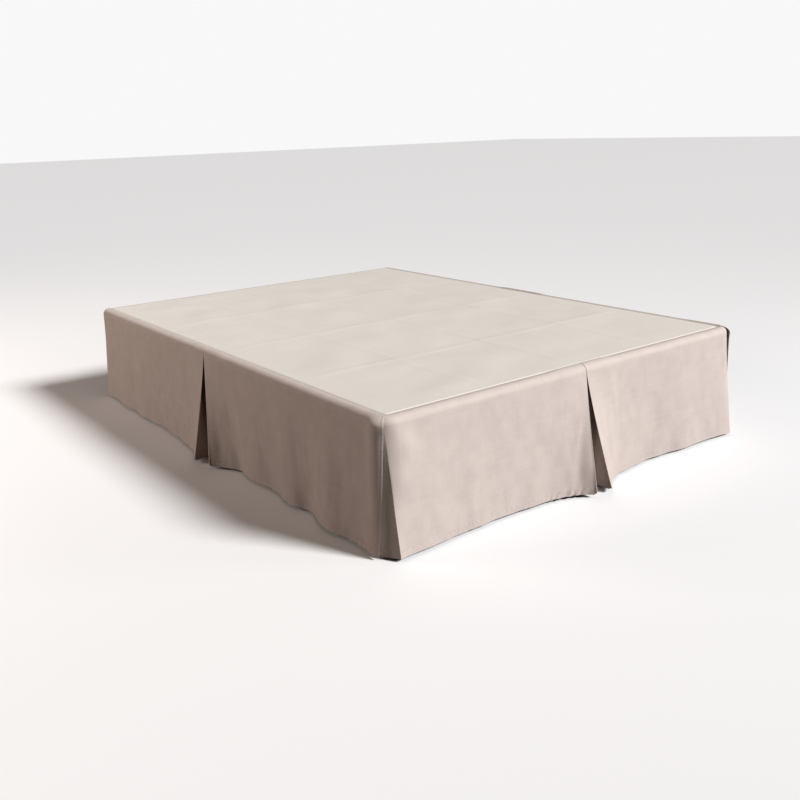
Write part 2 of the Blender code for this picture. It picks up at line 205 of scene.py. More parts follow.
class Graph:
    """A node tree with short ways to add, feed and combine nodes."""

    def __init__(self, tree: bpy.types.NodeTree) -> None:
        """Wrap a node tree.

        Args:
            tree: The node tree of a material, a world or a group.
        """
        self.tree = tree

    def feed(self, socket: bpy.types.NodeSocket, source: Source) -> None:
        """Link a socket to its source, or set its value.

        Args:
            socket: The input socket.
            source: A socket to link from, or a value.
        """
        if isinstance(source, bpy.types.NodeSocket):
            self.tree.links.new(source, socket)
        else:
            socket.default_value = source

    def add(self, kind: str, inputs: dict[str | int, Source] | None = None, **settings: object) -> bpy.types.Node:
        """Add a node.

        Args:
            kind: The node's type.
            inputs: Sources or values of its inputs, by name or number.
            settings: Properties of the node itself.

        Returns:
            The node.
        """
        node = self.tree.nodes.new(kind)
        for name, value in settings.items():
            setattr(node, name, value)
        for name, source in (inputs or {}).items():
            self.feed(node.inputs[name], source)
        return node

    def math(self, operation: str, *sources: Source) -> bpy.types.NodeSocket:
        """Combine values.

        Args:
            operation: The name of the operation.
            sources: Up to three sockets or numbers.

        Returns:
            The result.
        """
        return self.add("ShaderNodeMath", dict(enumerate(sources)), operation=operation).outputs[0]

    def step(self, value: Source, start: float, end: float) -> bpy.types.NodeSocket:
        """Rise smoothly from 0 to 1 between two values."""
        node = self.add("ShaderNodeMapRange", {"Value": value, "From Min": start, "From Max": end},
                        interpolation_type="SMOOTHSTEP")
        return node.outputs["Result"]

    def bell(self, distance: Source, width: Source) -> bpy.types.NodeSocket:
        """Give 1 at a distance of 0, and fall off smoothly over a width."""
        share = self.math("DIVIDE", distance, width)
        return self.math("EXPONENT", self.math("MULTIPLY", self.math("MULTIPLY", share, share), -1.0))

    def split(self, vector: Source) -> bpy.types.bpy_prop_collection:
        """Split a vector into its three values, X, Y and Z."""
        return self.add("ShaderNodeSeparateXYZ", {0: vector}).outputs

    def noise(self, place: Source, scale: Source, detail: float,
              stretch: Color | None = None) -> bpy.types.NodeSocket:
        """Add a noise pattern.

        Args:
            place: Where to read it.
            scale: How fine it is.
            detail: How many finer layers it has.
            stretch: Factors for its three directions.

        Returns:
            Its value, about 0 to 1.
        """
        if stretch:
            place = self.add("ShaderNodeVectorMath", {0: place, 1: stretch}, operation="MULTIPLY").outputs[0]
        return self.add("ShaderNodeTexNoise", {"Vector": place, "Scale": scale, "Detail": detail}).outputs[0]

    def blend(self, share: Source, low: Source, high: Source) -> bpy.types.NodeSocket:
        """Mix two colours."""
        node = self.add("ShaderNodeMix", data_type="RGBA")
        ports = {port.identifier: port for port in node.inputs}
        for name, source in (("Factor_Float", share), ("A_Color", low), ("B_Color", high)):
            self.feed(ports[name], (*source, 1.0) if isinstance(source, tuple) else source)
        return next(port for port in node.outputs if port.identifier == "Result_Color")

    def group(self, tree: bpy.types.NodeTree, **inputs: Source) -> bpy.types.bpy_prop_collection:
        """Add a shared group with sources or values for its inputs, and give its outputs."""
        return self.add("ShaderNodeGroup", inputs, node_tree=tree).outputs

    def seen_or_thrown(self, seen: Color, thrown: Color) -> bpy.types.NodeSocket:
        """Give one colour to the camera, and another to the light that goes on from there."""
        return self.blend(self.add("ShaderNodeLightPath").outputs["Is Camera Ray"], thrown, seen)


class SharedGroup(Graph):
    """A node group with named inputs and outputs, which several finishes use."""

    def __init__(self, name: str, inputs: dict[str, float | None], outputs: Sequence[str]) -> None:
        """Open the group with its sockets.

        Args:
            name: The group's name.
            inputs: Default values by name, with None for a vector.
            outputs: Names of the values that it puts out.
        """
        super().__init__(bpy.data.node_groups.new(name, "ShaderNodeTree"))
        for label, value in inputs.items():
            kind = "NodeSocketVector" if value is None else "NodeSocketFloat"
            socket = self.tree.interface.new_socket(name=label, in_out="INPUT", socket_type=kind)
            if value is not None:
                socket.default_value = value
        for label in outputs:
            self.tree.interface.new_socket(name=label, in_out="OUTPUT", socket_type="NodeSocketFloat")
        self.entry = self.tree.nodes.new("NodeGroupInput").outputs
        self.result = self.tree.nodes.new("NodeGroupOutput").inputs


def weave_group() -> bpy.types.NodeTree:
    """Make the plain weave: threads over and under, uneven threads, and slubs along them.

    Returns:
        A group with the outputs Height and Tone, both about 0 to 1.
    """
    group = SharedGroup("plain_weave", {"Cloth": None, "Threads": 2600.0, "Slub": 0.5}, ("Height", "Tone"))
    place = group.split(group.entry["Cloth"])
    turns = group.math("MULTIPLY", group.entry["Threads"], math.pi)
    waves = [group.math("SINE", group.math("MULTIPLY", place[axis], turns)) for axis in ("X", "Y")]
    height = group.math("MULTIPLY_ADD", group.math("MULTIPLY", *waves), 0.5, 0.5)
    warp = group.noise(group.entry["Cloth"], 1.0, 3.0, WARP_STRETCH)
    weft = group.noise(group.entry["Cloth"], 1.0, 3.0, WEFT_STRETCH)
    streaks = group.math("MULTIPLY_ADD", group.math("ADD", warp, weft), 0.5, -0.5)
    uneven = group.math("MULTIPLY", streaks, group.entry["Slub"])
    group.feed(group.result["Height"], group.math("ADD", height, uneven))
    group.feed(group.result["Tone"], group.math("MULTIPLY_ADD", uneven, 2.0, 0.5))
    return group.tree


def mottle_group() -> bpy.types.NodeTree:
    """Make slow changes of tone, as of washed cloth.

    Returns:
        A group with the output Tone, about 0 to 1.
    """
    group = SharedGroup("mottle", {"Place": None, "Scale": 14.0}, ("Tone",))
    cloudy = group.noise(group.entry["Place"], group.entry["Scale"], 4.0)
    group.feed(group.result["Tone"], group.math("MULTIPLY_ADD", cloudy, 2.0, -0.5))
    return group.tree


def grain_group() -> bpy.types.NodeTree:
    """Make the fine peel and the slow wear of powder coat and moulded plastic.

    Returns:
        A group with the outputs Height and Wear, about 0 to 1.
    """
    group = SharedGroup("fine_grain", {"Place": None, "Scale": 900.0}, ("Height", "Wear"))
    group.feed(group.result["Height"], group.noise(group.entry["Place"], group.entry["Scale"], 1.0))
    group.feed(group.result["Wear"], group.step(group.noise(group.entry["Place"], 22.0, 5.0), 0.35, 0.70))
    return group.tree


def stitch_group() -> bpy.types.NodeTree:
    """Make a row of machine stitches that sink into the cloth.

    Returns:
        A group with the outputs Thread, a mask, and Height in millimetres.
    """
    group = SharedGroup("stitch_row", {"Along": 0.0, "Aside": 0.0, "Pitch": 0.003, "Width": 0.0007},
                        ("Thread", "Height"))
    turn = group.math("FRACT", group.math("DIVIDE", group.entry["Along"], group.entry["Pitch"]))
    from_middle = group.math("ABSOLUTE", group.math("SUBTRACT", turn, 0.5))
    across = group.bell(group.entry["Aside"], group.entry["Width"])
    thread = group.math("MULTIPLY", group.step(from_middle, *STITCH_ENDS), group.step(across, *STITCH_SIDES))
    channel = group.bell(group.entry["Aside"], group.math("MULTIPLY", group.entry["Width"], CHANNEL_WIDTH))
    sunk = group.math("MULTIPLY", channel, CHANNEL_HEIGHT)
    group.feed(group.result["Thread"], thread)
    group.feed(group.result["Height"], group.math("MULTIPLY_ADD", thread, THREAD_HEIGHT, sunk))
    return group.tree


def hem_group() -> bpy.types.NodeTree:
    """Make a blind-stitched hem: its fold line, small dimples at the stitches, and slanted puckers.

    Returns:
        A group with the outputs Height in millimetres, and Dimple, a mask of the dimples, which the drop's finish
        uses to paint shade into them.
    """
    group = SharedGroup("blind_hem", {"Cloth": None, "Depth": 0.017, "Pitch": 0.0125}, ("Height", "Dimple"))
    place = group.split(group.entry["Cloth"])
    up = group.math("SUBTRACT", place["Y"], group.entry["Depth"])
    ridge = group.math("MULTIPLY", group.bell(up, HEM_RIDGE[0]), HEM_RIDGE[1])
    marks = []
    for slant, spread, width in HEM_MARKS:
        travel = group.math("MULTIPLY_ADD", place["Y"], slant, place["X"])
        pitch = group.math("MULTIPLY", group.entry["Pitch"], spread)
        cells = group.add("ShaderNodeTexVoronoi", voronoi_dimensions="1D")
        group.feed(cells.inputs["W"], group.math("DIVIDE", travel, pitch))
        cells.inputs["Scale"].default_value = 1.0
        cells.inputs["Randomness"].default_value = 0.95
        strength = group.split(cells.outputs["Color"])["X"]
        mark = group.bell(group.math("MULTIPLY", cells.outputs["Distance"], pitch), width)
        marks.append(group.math("MULTIPLY", mark, group.math("MULTIPLY_ADD", strength, 0.8, 0.2)))
    dimple = group.math("MULTIPLY", marks[0], group.bell(group.math("ADD", up, 0.0006), DIMPLE_REACH))
    reach = group.math("MULTIPLY", group.step(up, 0.009, -0.004), group.step(place["Y"], 0.0, 0.003))
    patches = group.step(group.noise(group.entry["Cloth"], 1.0, 2.0, (9.0, 0.0, 1.0)), 0.35, 0.65)
    pucker = group.math("MULTIPLY", group.math("MULTIPLY", marks[1], reach), patches)
    marked = group.math("MULTIPLY", group.math("ADD", dimple, pucker), HEM_MARK_HEIGHT)
    group.feed(group.result["Height"], group.math("ADD", ridge, marked))
    group.feed(group.result["Dimple"], dimple)
    return group.tree


class Shading:
    """The node groups that the finishes share, each built once."""

    def __init__(self) -> None:
        """Build the groups."""
        self.weave = weave_group()
        self.mottle = mottle_group()
        self.grain = grain_group()
        self.stitch = stitch_group()
        self.hem = hem_group()


# Finishes


def new_material(name: str, roughness: float) -> tuple[bpy.types.Material, Graph, bpy.types.Node]:
    """Start a material.

    Args:
        name: The material's name.
        roughness: The roughness where nothing feeds it.

    Returns:
        The material, its graph and its Principled shader.
    """
    material = bpy.data.materials.new(name)
    material.use_nodes = True
    shader = material.node_tree.nodes["Principled BSDF"]
    shader.inputs["Roughness"].default_value = roughness
    return material, Graph(material.node_tree), shader


def add_bump(graph: Graph, shader: bpy.types.Node, height: Source) -> None:
    """Raise a material's surface by a height in millimetres."""
    bump = graph.add("ShaderNodeBump", {"Distance": MILLIMETRE, "Height": height})
    graph.feed(shader.inputs["Normal"], bump.outputs[0])


class StitchRow(NamedTuple):
    """A row of stitches: its map, the axis that it runs along, its place on the other axis, its pitch."""

    map_name: str
    along: str
    distance: float
    pitch: float = 0.003


@dataclass(frozen=True)
class ClothFinish:
    """A woven finish: colours, threads, stripes, the sewing that shows in it, and shade painted into the hem's
    dimples.
    """

    name: str
    color: Color
    deep: Color
    thread_and_shade_color: Color
    threads: float = 2600.0
    slub: float = 0.5
    weave_height: float = 0.035
    mottle_scale: float = 9.0
    roughness: float = 0.82
    sheen: float = 0.15
    hem_depth: float = 0.0
    # the share by which the hem's dimples are darkened towards the thread colour, as painted shade
    dimple_shade: float = 0.40
    stripe: Color | None = None
    rows: tuple[StitchRow, ...] = ()

    def make(self, shading: Shading) -> bpy.types.Material:
        """Make the material, which reads the piece's own maps in metres.

        Args:
            shading: The shared node groups.

        Returns:
            The material.
        """
        material, graph, shader = new_material(self.name, self.roughness)
        shader.inputs["Sheen Weight"].default_value = self.sheen
        shader.inputs["Sheen Roughness"].default_value = 0.45
        cloth = graph.add("ShaderNodeUVMap", uv_map="cloth").outputs[0]
        place = graph.add("ShaderNodeTexCoord").outputs["Object"]
        weave = graph.group(shading.weave, Cloth=cloth, Threads=self.threads, Slub=self.slub)
        mottle = graph.group(shading.mottle, Place=place, Scale=self.mottle_scale)
        share = graph.math("MULTIPLY", graph.math("ADD", mottle["Tone"], weave["Tone"]), 0.5)
        color = graph.blend(share, self.deep, self.color)
        height = graph.math("MULTIPLY", weave["Height"], self.weave_height)
        if self.stripe:
            color = graph.blend(self._stripes(graph, cloth), color, self.stripe)
        if self.hem_depth:
            hem = graph.group(shading.hem, Cloth=cloth, Depth=self.hem_depth)
            height = graph.math("ADD", height, hem["Height"])
            # painted shade: the colour is darkened towards the thread colour in the hem's dimples
            color = graph.blend(graph.math("MULTIPLY", hem["Dimple"], self.dimple_shade), color, self.thread_and_shade_color)
        for row in self.rows:
            stitch = self._stitches(graph, shading, row)
            height = graph.math("ADD", height, stitch["Height"])
            color = graph.blend(stitch["Thread"], color, self.thread_and_shade_color)
        graph.feed(shader.inputs["Base Color"], color)
        add_bump(graph, shader, height)
        return material

    @staticmethod
    def _stitches(graph: Graph, shading: Shading, row: StitchRow) -> bpy.types.bpy_prop_collection:
        """Add one row of stitches.

        Args:
            graph: The material's graph.
            shading: The shared node groups.
            row: The row.

        Returns:
            The outputs of the group.
        """
        place = graph.split(graph.add("ShaderNodeUVMap", uv_map=row.map_name).outputs[0])
        aside = graph.math("SUBTRACT", place["Y" if row.along == "X" else "X"], row.distance)
        return graph.group(shading.stitch, Along=place[row.along], Aside=aside, Pitch=row.pitch)

    @staticmethod
    def _stripes(graph: Graph, cloth: bpy.types.NodeSocket) -> bpy.types.NodeSocket:
        """Give the share of the ticking's thin double stripes.

        Args:
            graph: The material's graph.
            cloth: The cloth's own map.

        Returns:
            The share of the stripes' colour.
        """
        turn = graph.math("FRACT", graph.math("DIVIDE", graph.split(cloth)["X"], STRIPE_PITCH))
        near = graph.math("ABSOLUTE", graph.math("SUBTRACT", turn, 0.5))
        stripe = graph.bell(graph.math("SUBTRACT", near, STRIPE_APART), STRIPE_WIDTH)
        return graph.math("MULTIPLY", stripe, STRIPE_STRENGTH)


@dataclass(frozen=True)
class HardFinish:
    """A painted, plated or moulded finish with a fine grain."""

    name: str
    color: Color
    worn: Color
    roughness: tuple[float, float]
    grain: float = 900.0
    grain_height: float = 0.05
    metallic: float = 0.0
    coat: float = 0.0

    def make(self, shading: Shading) -> bpy.types.Material:
        """Make the material.

        Args:
            shading: The shared node groups.

        Returns:
            The material.
        """
        material, graph, shader = new_material(self.name, self.roughness[0])
        shader.inputs["Metallic"].default_value = self.metallic
        shader.inputs["Coat Weight"].default_value = self.coat
        shader.inputs["Coat Roughness"].default_value = 0.25
        place = graph.add("ShaderNodeTexCoord").outputs["Object"]
        grain = graph.group(shading.grain, Place=place, Scale=self.grain)
        graph.feed(shader.inputs["Base Color"], graph.blend(grain["Wear"], self.color, self.worn))
        rough = graph.add("ShaderNodeMapRange", {
            "Value": grain["Wear"], "To Min": self.roughness[0], "To Max": self.roughness[1]})
        graph.feed(shader.inputs["Roughness"], rough.outputs["Result"])
        add_bump(graph, shader, graph.math("MULTIPLY", grain["Height"], self.grain_height))
        return material


# Meshes from grids


def put(name: str, data: bpy.types.ID) -> bpy.types.Object:
    """Put a mesh, a light or a camera into the scene.

    Args:
        name: The object's name.
        data: What it shows.

    Returns:
        The object.
    """
    made = bpy.data.objects.new(name, data)
    bpy.context.scene.collection.objects.link(made)
    return made


def grid_piece(name: str, grid: np.ndarray, maps: dict[str, np.ndarray], flip: bool = False,
               closed: bool = False) -> bpy.types.Object:
    """Turn a grid of places into a smooth piece with its maps.

    Args:
        name: The piece's name.
        grid: Places, rows by columns.
        maps: A pair of map values for each place, by map name.
        flip: True to turn the faces over.
        closed: True where the last column is the first again.

    Returns:
        The piece.
    """
    rows, columns = grid.shape[:2]
    index = np.arange(rows * columns).reshape(rows, columns)
    faces = np.stack([index[:-1, :-1], index[1:, :-1], index[1:, 1:], index[:-1, 1:]], axis=-1).reshape(-1, 4)
    if flip:
        faces = faces[:, ::-1]
    mesh = bpy.data.meshes.new(name)
    mesh.from_pydata(grid.reshape(-1, 3).tolist(), [], faces.tolist())
    loops = np.empty(len(mesh.loops), np.int32)
    mesh.loops.foreach_get("vertex_index", loops)
    for label, values in maps.items():
        layer = mesh.uv_layers.new(name=label)
        layer.data.foreach_set("uv", values.reshape(-1, 2)[loops].astype(np.float32).ravel())
    if closed:
        weld = bmesh.new()
        weld.from_mesh(mesh)
        bmesh.ops.remove_doubles(weld, verts=weld.verts, dist=1e-5)
        weld.to_mesh(mesh)
        weld.free()
    mesh.shade_smooth()
    return put(name, mesh)


def give_thickness(piece: bpy.types.Object, thick: float, share: np.ndarray | None = None) -> None:
    """Give a sheet its thickness.

    Args:
        piece: The sheet.
        thick: Its full thickness.
        share: The share of it at each place, or None for all of it.
    """
    modifier = piece.modifiers.new("cloth", "SOLIDIFY")
    modifier.thickness = thick
    modifier.offset = 0.0
    if share is None:
        return
    group = piece.vertex_groups.new(name="thickness")
    for value in np.unique(share):
        group.add(np.flatnonzero(share.ravel() == value).tolist(), float(value), "REPLACE")
    modifier.vertex_group = group.name


def smooth_through(keys: np.ndarray, travel: np.ndarray, wanted: np.ndarray) -> np.ndarray:
    """Follow a smooth curve through key rows.

    Args:
        keys: The rows, one for each key.
        travel: The keys' places along the curve.
        wanted: The places to read.

    Returns:
        One row for each wanted place.
    """
    slope = np.gradient(keys, travel, axis=0)
    row = np.clip(np.searchsorted(travel, wanted, side="right") - 1, 0, len(travel) - 2)
    span = np.diff(travel)[row]
    t = ((wanted - travel[row]) / span)[:, None]
    span = span[:, None]
    return (keys[row] * (2 * t**3 - 3 * t**2 + 1) + keys[row + 1] * (3 * t**2 - 2 * t**3)
            + slope[row] * span * (t**3 - 2 * t**2 + t) + slope[row + 1] * span * (t**3 - t**2))


def travel_along(points: np.ndarray) -> np.ndarray:
    """Give the running length through points."""
    return np.concatenate(([0.0], np.cumsum(np.linalg.norm(np.diff(points, axis=0), axis=1))))


def ramp(value: np.ndarray | float, none: float, full: float) -> np.ndarray:
    """Rise smoothly from 0 to 1 between two values.

    Args:
        value: The values.
        none: Where the rise starts.
        full: Where it ends, which may be lower than the start.

    Returns:
        The share for each value.
    """
    share = np.clip((np.asarray(value) - none) / (full - none), 0.0, 1.0)
    return share * share * (3 - 2 * share)


# The cut of the drops


class Hem(NamedTuple):
    """A place on a hem seen from above: along the face, and out from it."""

    along: float
    out: float


class Line(NamedTuple):
    """A line of cloth from seam to hem: its place and layer at the seam, its place at the hem."""

    top: float
    layer: float
    along: float
    out: float


@dataclass(frozen=True)
class ClothSizes:
    """The make of the drops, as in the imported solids."""

    clearance: float = 0.0022
    layer_pitch: float = 0.0015
    solid_thick: float = 0.0010
    thick: float = 0.0012
    single_share: float = 0.6
    hem_height: float = 0.008
    hem_rise: float = 0.04
    hem_depth: float = 0.017
    edge_hem: float = 0.009
    rim_share: float = 0.12
    seam_inset: float = 0.030
    seam_allowance: float = 0.010
    seam_pitch: float = 0.00010
    seam_rise: float = 0.0005
    end_standoff: float = 0.0108
    under_standoff: float = 0.0072
    pleat_depth: float = 0.075
    fold_tip: float = 0.001
    fold_gap: float = 0.0009
    fold_reach: float = 0.0035
    tip_lift: float = 0.006
    tip_reach: float = 0.006
    corner_rounding: float = 0.007
    flare_power: float = 1.12
    column_step: float = 0.0034
    row_step: float = 0.013


# The long side's hem in front of the pleat, from the corner at the foot
SIDE_FRONT_HEM = (
    Hem(0.008, 0.0195), Hem(0.057, 0.019), Hem(0.110, 0.015), Hem(0.174, 0.018), Hem(0.236, 0.031),
    Hem(0.290, 0.023), Hem(0.335, 0.008), Hem(0.376, -0.001), Hem(0.411, 0.003), Hem(0.445, 0.014),
    Hem(0.481, 0.017), Hem(0.551, 0.004), Hem(0.610, 0.000), Hem(0.660, 0.007), Hem(0.710, 0.010),
    Hem(0.760, 0.008), Hem(0.820, 0.001), Hem(0.853, 0.016), Hem(0.884, 0.034), Hem(0.922, 0.068),
)
# The same hem behind the pleat, up to the head
SIDE_REAR_HEM = (
    Hem(1.000, 0.083), Hem(1.050, 0.060), Hem(1.122, 0.037), Hem(1.218, 0.024), Hem(1.313, 0.014),
    Hem(1.389, 0.012), Hem(1.468, 0.012), Hem(1.538, 0.017), Hem(1.610, 0.021), Hem(1.700, 0.013),
    Hem(1.800, 0.020), Hem(1.900, 0.011), Hem(2.026, 0.016),
)
# The foot drop's end: behind the side drop, in beside its edge, and out to the crease at the corner
FOOT_UNDERLAP = (
    Line(-0.090, 0.0, 0.002, -0.092), Line(-0.040, 0.0, 0.001, -0.052), Line(-0.012, 0.0, -0.002, -0.035),
    Line(0.000, 0.0, -0.008, -0.028), Line(0.008, 0.0, -0.0120, -0.0190), Line(0.014, 0.0, 0.020, 0.039),
)
# The foot's hem from that crease up to the pleat, and on from there
FOOT_LEFT_HEM = (
    Hem(0.020, 0.039), Hem(0.050, 0.034), Hem(0.128, 0.032), Hem(0.190, 0.028), Hem(0.250, 0.024),
    Hem(0.343, 0.021), Hem(0.453, 0.022), Hem(0.530, 0.028), Hem(0.592, 0.034), Hem(0.645, 0.046),
    Hem(0.688, 0.066), Hem(0.722, 0.100),
)
FOOT_RIGHT_HEM = (
    Hem(0.782, 0.103), Hem(0.815, 0.075), Hem(0.859, 0.045), Hem(0.900, 0.028), Hem(0.945, 0.022),
    Hem(1.033, 0.012), Hem(1.090, 0.007), Hem(1.150, 0.013), Hem(1.250, 0.024), Hem(1.360, 0.026),
    Hem(1.440, 0.031), Hem(1.504, 0.039),
)
# The hem inside a pleat, measured from the pleat's centre: return, back, return
SIDE_PLEAT_HEM = (
    Hem(-0.080, 0.036), Hem(-0.071, 0.006), Hem(-0.054, -0.010), Hem(-0.016, -0.013),
    Hem(0.014, 0.004), Hem(0.005, 0.034),
)
FOOT_PLEAT_HEM = (
    Hem(-0.041, 0.060), Hem(-0.028, 0.018), Hem(-0.012, -0.008), Hem(0.012, -0.010),
    Hem(0.030, 0.010), Hem(0.022, 0.055),
)
# Where those lines start at the seam, in pleat depths from its centre, and in which layer
PLEAT_TOPS = ((-0.55, 1.0), (-1.0, 0.5), (-0.40, 0.0), (0.40, 0.0), (1.0, 0.5), (0.55, 1.0))
FOLD_STEPS = 7
SIDE_END = 0.008
FOOT_CREASE = FOOT_UNDERLAP[-1].top
# How far the cloth behind the side drop takes the relief
LAP_SHOWN = 0.35
# Where the cloth rises over other layers: near the pleat, and over the foot drop's end
PLEAT_RISE = (0.160, 0.085)
LAP_RISE = (0.200, 0.135)
# Where it stands off at the split corners: the side drop, and both sides of the foot drop's turn
END_STANDOFF = (0.080, 0.010)
TURN_STANDOFF = ((-0.034, -0.008), (0.004, -0.005))


class Pattern:
    """Collects the lines of one drop in the order in which its cloth runs."""

    def __init__(self, face: Face, sizes: ClothSizes) -> None:
        """Start with no lines.

        Args:
            face: The face that the drop hangs on.
            sizes: The cloth's sizes.
        """
        self.face = face
        self.sizes = sizes
        self.blocks: list[np.ndarray] = []

    def add(self, lines: np.ndarray, shown: float, tip: bool = False) -> None:
        """Add a block of lines.

        Args:
            lines: Rows of top, layer, along and out.
            shown: How far the cloth shows from outside, and takes the relief, from 0 to 1.
            tip: True where the middle line is the edge of a flap.
        """
        extra = np.zeros((len(lines), 2))
        extra[:, 0] = shown
        if tip:
            extra[len(lines) // 2, 1] = 1.0
        self.blocks.append(np.column_stack((lines, extra)))

    def columns(self, start: float, end: float) -> np.ndarray:
        """Share out columns between two places, closer together near both ends."""
        count = round((end - start) / self.sizes.column_step)
        even = np.linspace(start, end, count + 1)[2:-2]
        close = np.array([0.0, 0.0008, 0.0017, 0.0028, 0.0041])
        return np.concatenate((start + close, even, end - close[::-1]))

    def panel(self, hem: Sequence[Hem], start: float, end: float,
              layer_at: Callable[[np.ndarray], np.ndarray]) -> None:
        """Add a flat panel: its hem's curve is shared out as its seam is.

        Args:
            hem: The hem table.
            start: Where the panel starts along the seam.
            end: Where it ends.
            layer_at: Gives the layer at places along the seam.
        """
        keys = np.array(hem)
        travel = travel_along(keys)
        tops = self.columns(start, end)
        centre = self.face.length / 2
        first = self.sizes.fold_reach if start > centre > start - 0.01 else 0.0
        last = travel[-1] - (self.sizes.fold_reach if end < centre < end + 0.01 else 0.0)
        places = smooth_through(keys, travel, first + (tops - start) / (end - start) * (last - first))
        self.add(np.column_stack((tops, layer_at(tops), places)), 1.0)

    def lap(self, mirrored: bool = False) -> None:
        """Add an end that turns round a corner and hangs behind the side drop.

        Args:
            mirrored: True for the right corner.
        """
        keys = np.array(FOOT_UNDERLAP)
        travel = travel_along(keys[:, 2:])
        lines = np.column_stack([np.interp(self.columns(0.0, travel[-1]), travel, column) for column in keys.T])
        if mirrored:
            lines[:, (0, 2)] = self.face.length - lines[:, (0, 2)]
            lines = lines[::-1]
        self.add(lines, LAP_SHOWN)

    def run(self, first: Line, inner: Sequence[Line], last: Line) -> None:
        """Add cloth inside a pleat between two folds.

        Args:
            first: The line after the fold before it.
            inner: The key lines between.
            last: The line before the fold after it.
        """
        keys = np.array([first, *inner, last])
        travel = travel_along(keys[:, (0, 2, 3)])
        count = max(4, round(travel[-1] / (2.0 * self.sizes.column_step)))
        self.add(smooth_through(keys, travel, np.linspace(0.0, travel[-1], count + 1)[1:-1]), 0.0)

    def fold(self, before: Line, tip: Line, after: Line, heading: int, outer: bool) -> tuple[Line, Line]:
        """Add a fold: the cloth comes in on one layer and goes back on another.

        Args:
            before: A line of the cloth that comes in.
            tip: The fold's own line, with the layer between the two.
            after: A line of the cloth that goes back.
            heading: 1 where the cloth comes in with rising distance along the seam, or -1.
            outer: True for the edge of a flap.

        Returns:
            The fold's first and last lines.
        """
        def hem_towards(other: Line) -> np.ndarray:
            """Give a place on the hem a short way from the fold towards a line."""
            away = np.array([other.along - tip.along, other.out - tip.out])
            return np.array([tip.along, tip.out]) + away / np.linalg.norm(away) * self.sizes.fold_reach

        start, end = hem_towards(before), hem_towards(after)
        half = (before.layer - after.layer) / 2
        turn = np.linspace(0.0, math.pi, FOLD_STEPS)
        share = (turn / math.pi)[:, None]
        tops = tip.top - heading * self.sizes.fold_tip * (1 - np.sin(turn))
        hem = start * (1 - share)**2 + np.array([tip.along, tip.out]) * 2 * share * (1 - share) + end * share**2
        lines = np.column_stack((tops, tip.layer + half * np.cos(turn), hem))
        self.add(lines, 0.0, tip=outer)
        return Line(*lines[0]), Line(*lines[-1])

    def pleat(self, hem: Sequence[Hem], flap_in: Hem, flap_out: Hem) -> None:
        """Add an inverted box pleat: flap, return, inner fold, back, inner fold, return, flap.

        Args:
            hem: The hem table of its inner lines.
            flap_in: The hem of the flap's edge before the pleat.
            flap_out: The hem of the flap's edge after it.
        """
        centre = self.face.length / 2
        depth = self.sizes.pleat_depth
        inner = [Line(centre + share * depth, layer, centre + row.along, row.out)
                 for (share, layer), row in zip(PLEAT_TOPS, hem)]
        first = Line(centre - self.sizes.fold_gap, 1.5, *flap_in)
        last = Line(centre + self.sizes.fold_gap, 1.5, *flap_out)
        front = Line(first.top, 2.0, flap_in.along - 0.020, flap_in.out - 0.020)
        rear = Line(last.top, 2.0, flap_out.along + 0.020, flap_out.out - 0.010)
        _, leave = self.fold(front, first, inner[0], 1, outer=True)
        after_flap = len(self.blocks)
        reach, back = self.fold(inner[0], inner[1], inner[2], -1, outer=False)
        after_reach = len(self.blocks)
        ahead, go = self.fold(inner[3], inner[4], inner[5], 1, outer=False)
        after_ahead = len(self.blocks)
        arrive, _ = self.fold(inner[5], last, rear, -1, outer=True)
        runs = ((after_ahead, go, inner[5:], arrive), (after_reach, back, inner[2:4], ahead),
                (after_flap, leave, inner[:1], reach))
        for place, start, keys, end in runs:
            self.run(start, keys, end)
            self.blocks.insert(place, self.blocks.pop())

    def lines(self) -> np.ndarray:
        """Join the blocks, leaving out lines that lie on the one before.

        Returns:
            Rows of top, layer, along, out, shown and tip.
        """
        lines = np.concatenate(self.blocks)
        step = np.linalg.norm(np.diff(lines[:, (0, 2, 3)], axis=0), axis=1) + 0.002 * np.abs(np.diff(lines[:, 1]))
        return lines[np.concatenate(([True], step > 1e-5))]


# The relief of the drops


@dataclass(frozen=True)
class Flute:
    """A soft upright trough or ridge, which grows from one height down to another."""

    top: float
    width: float
    depth: float
    high: float
    low: float

    def shape(self, tops: np.ndarray, heights: np.ndarray) -> np.ndarray:
        """Give its relief at places on the cloth."""
        return self.depth * np.exp(-((tops - self.top) / self.width)**2) * ramp(heights, self.high, self.low)


@dataclass(frozen=True)
class Crease:
    """A soft crease between two places, each a distance along the seam and a height."""

    top: float
    high: float
    end_top: float
    end_high: float
    width: float
    depth: float

    def shape(self, tops: np.ndarray, heights: np.ndarray) -> np.ndarray:
        """Give its relief at places on the cloth."""
        line = np.array([self.end_top - self.top, self.end_high - self.high])
        reach = float(np.linalg.norm(line))
        line /= reach
        travel = (tops - self.top) * line[0] + (heights - self.high) * line[1]
        aside = (tops - self.top) * line[1] - (heights - self.high) * line[0]
        taper = ramp(travel, -0.012, 0.3 * reach) * ramp(travel, reach + 0.012, 0.7 * reach)
        return self.depth * np.exp(-(aside / self.width)**2) * taper


@dataclass(frozen=True)
class Gathers:
    """A stretch of hem that its stitching has drawn up into short slanted puckers."""

    start: float
    end: float
    pitch: float
    depth: float
    reach: float
    slant: float

    def shape(self, tops: np.ndarray, heights: np.ndarray) -> np.ndarray:
        """Give its relief at places on the cloth."""
        span = 0.25 * (self.end - self.start)
        where = ramp(tops, self.start, self.start + span) * ramp(tops, self.end, self.end - span)
        turn = (tops + self.slant * heights) / self.pitch
        turn = turn + 0.22 * np.sin(tops / self.pitch * 1.7) + 0.15 * np.sin(tops / self.pitch * 0.61)
        wave = np.abs(np.sin(math.pi * turn))**1.6 - 0.6
        uneven = 0.65 + 0.35 * np.sin(tops / self.pitch * 2.3 + 1.0) * np.sin(tops / self.pitch * 0.83)
        return self.depth * uneven * wave * where * ramp(heights, self.reach, 0.4 * self.reach)


Relief = Flute | Crease | Gathers

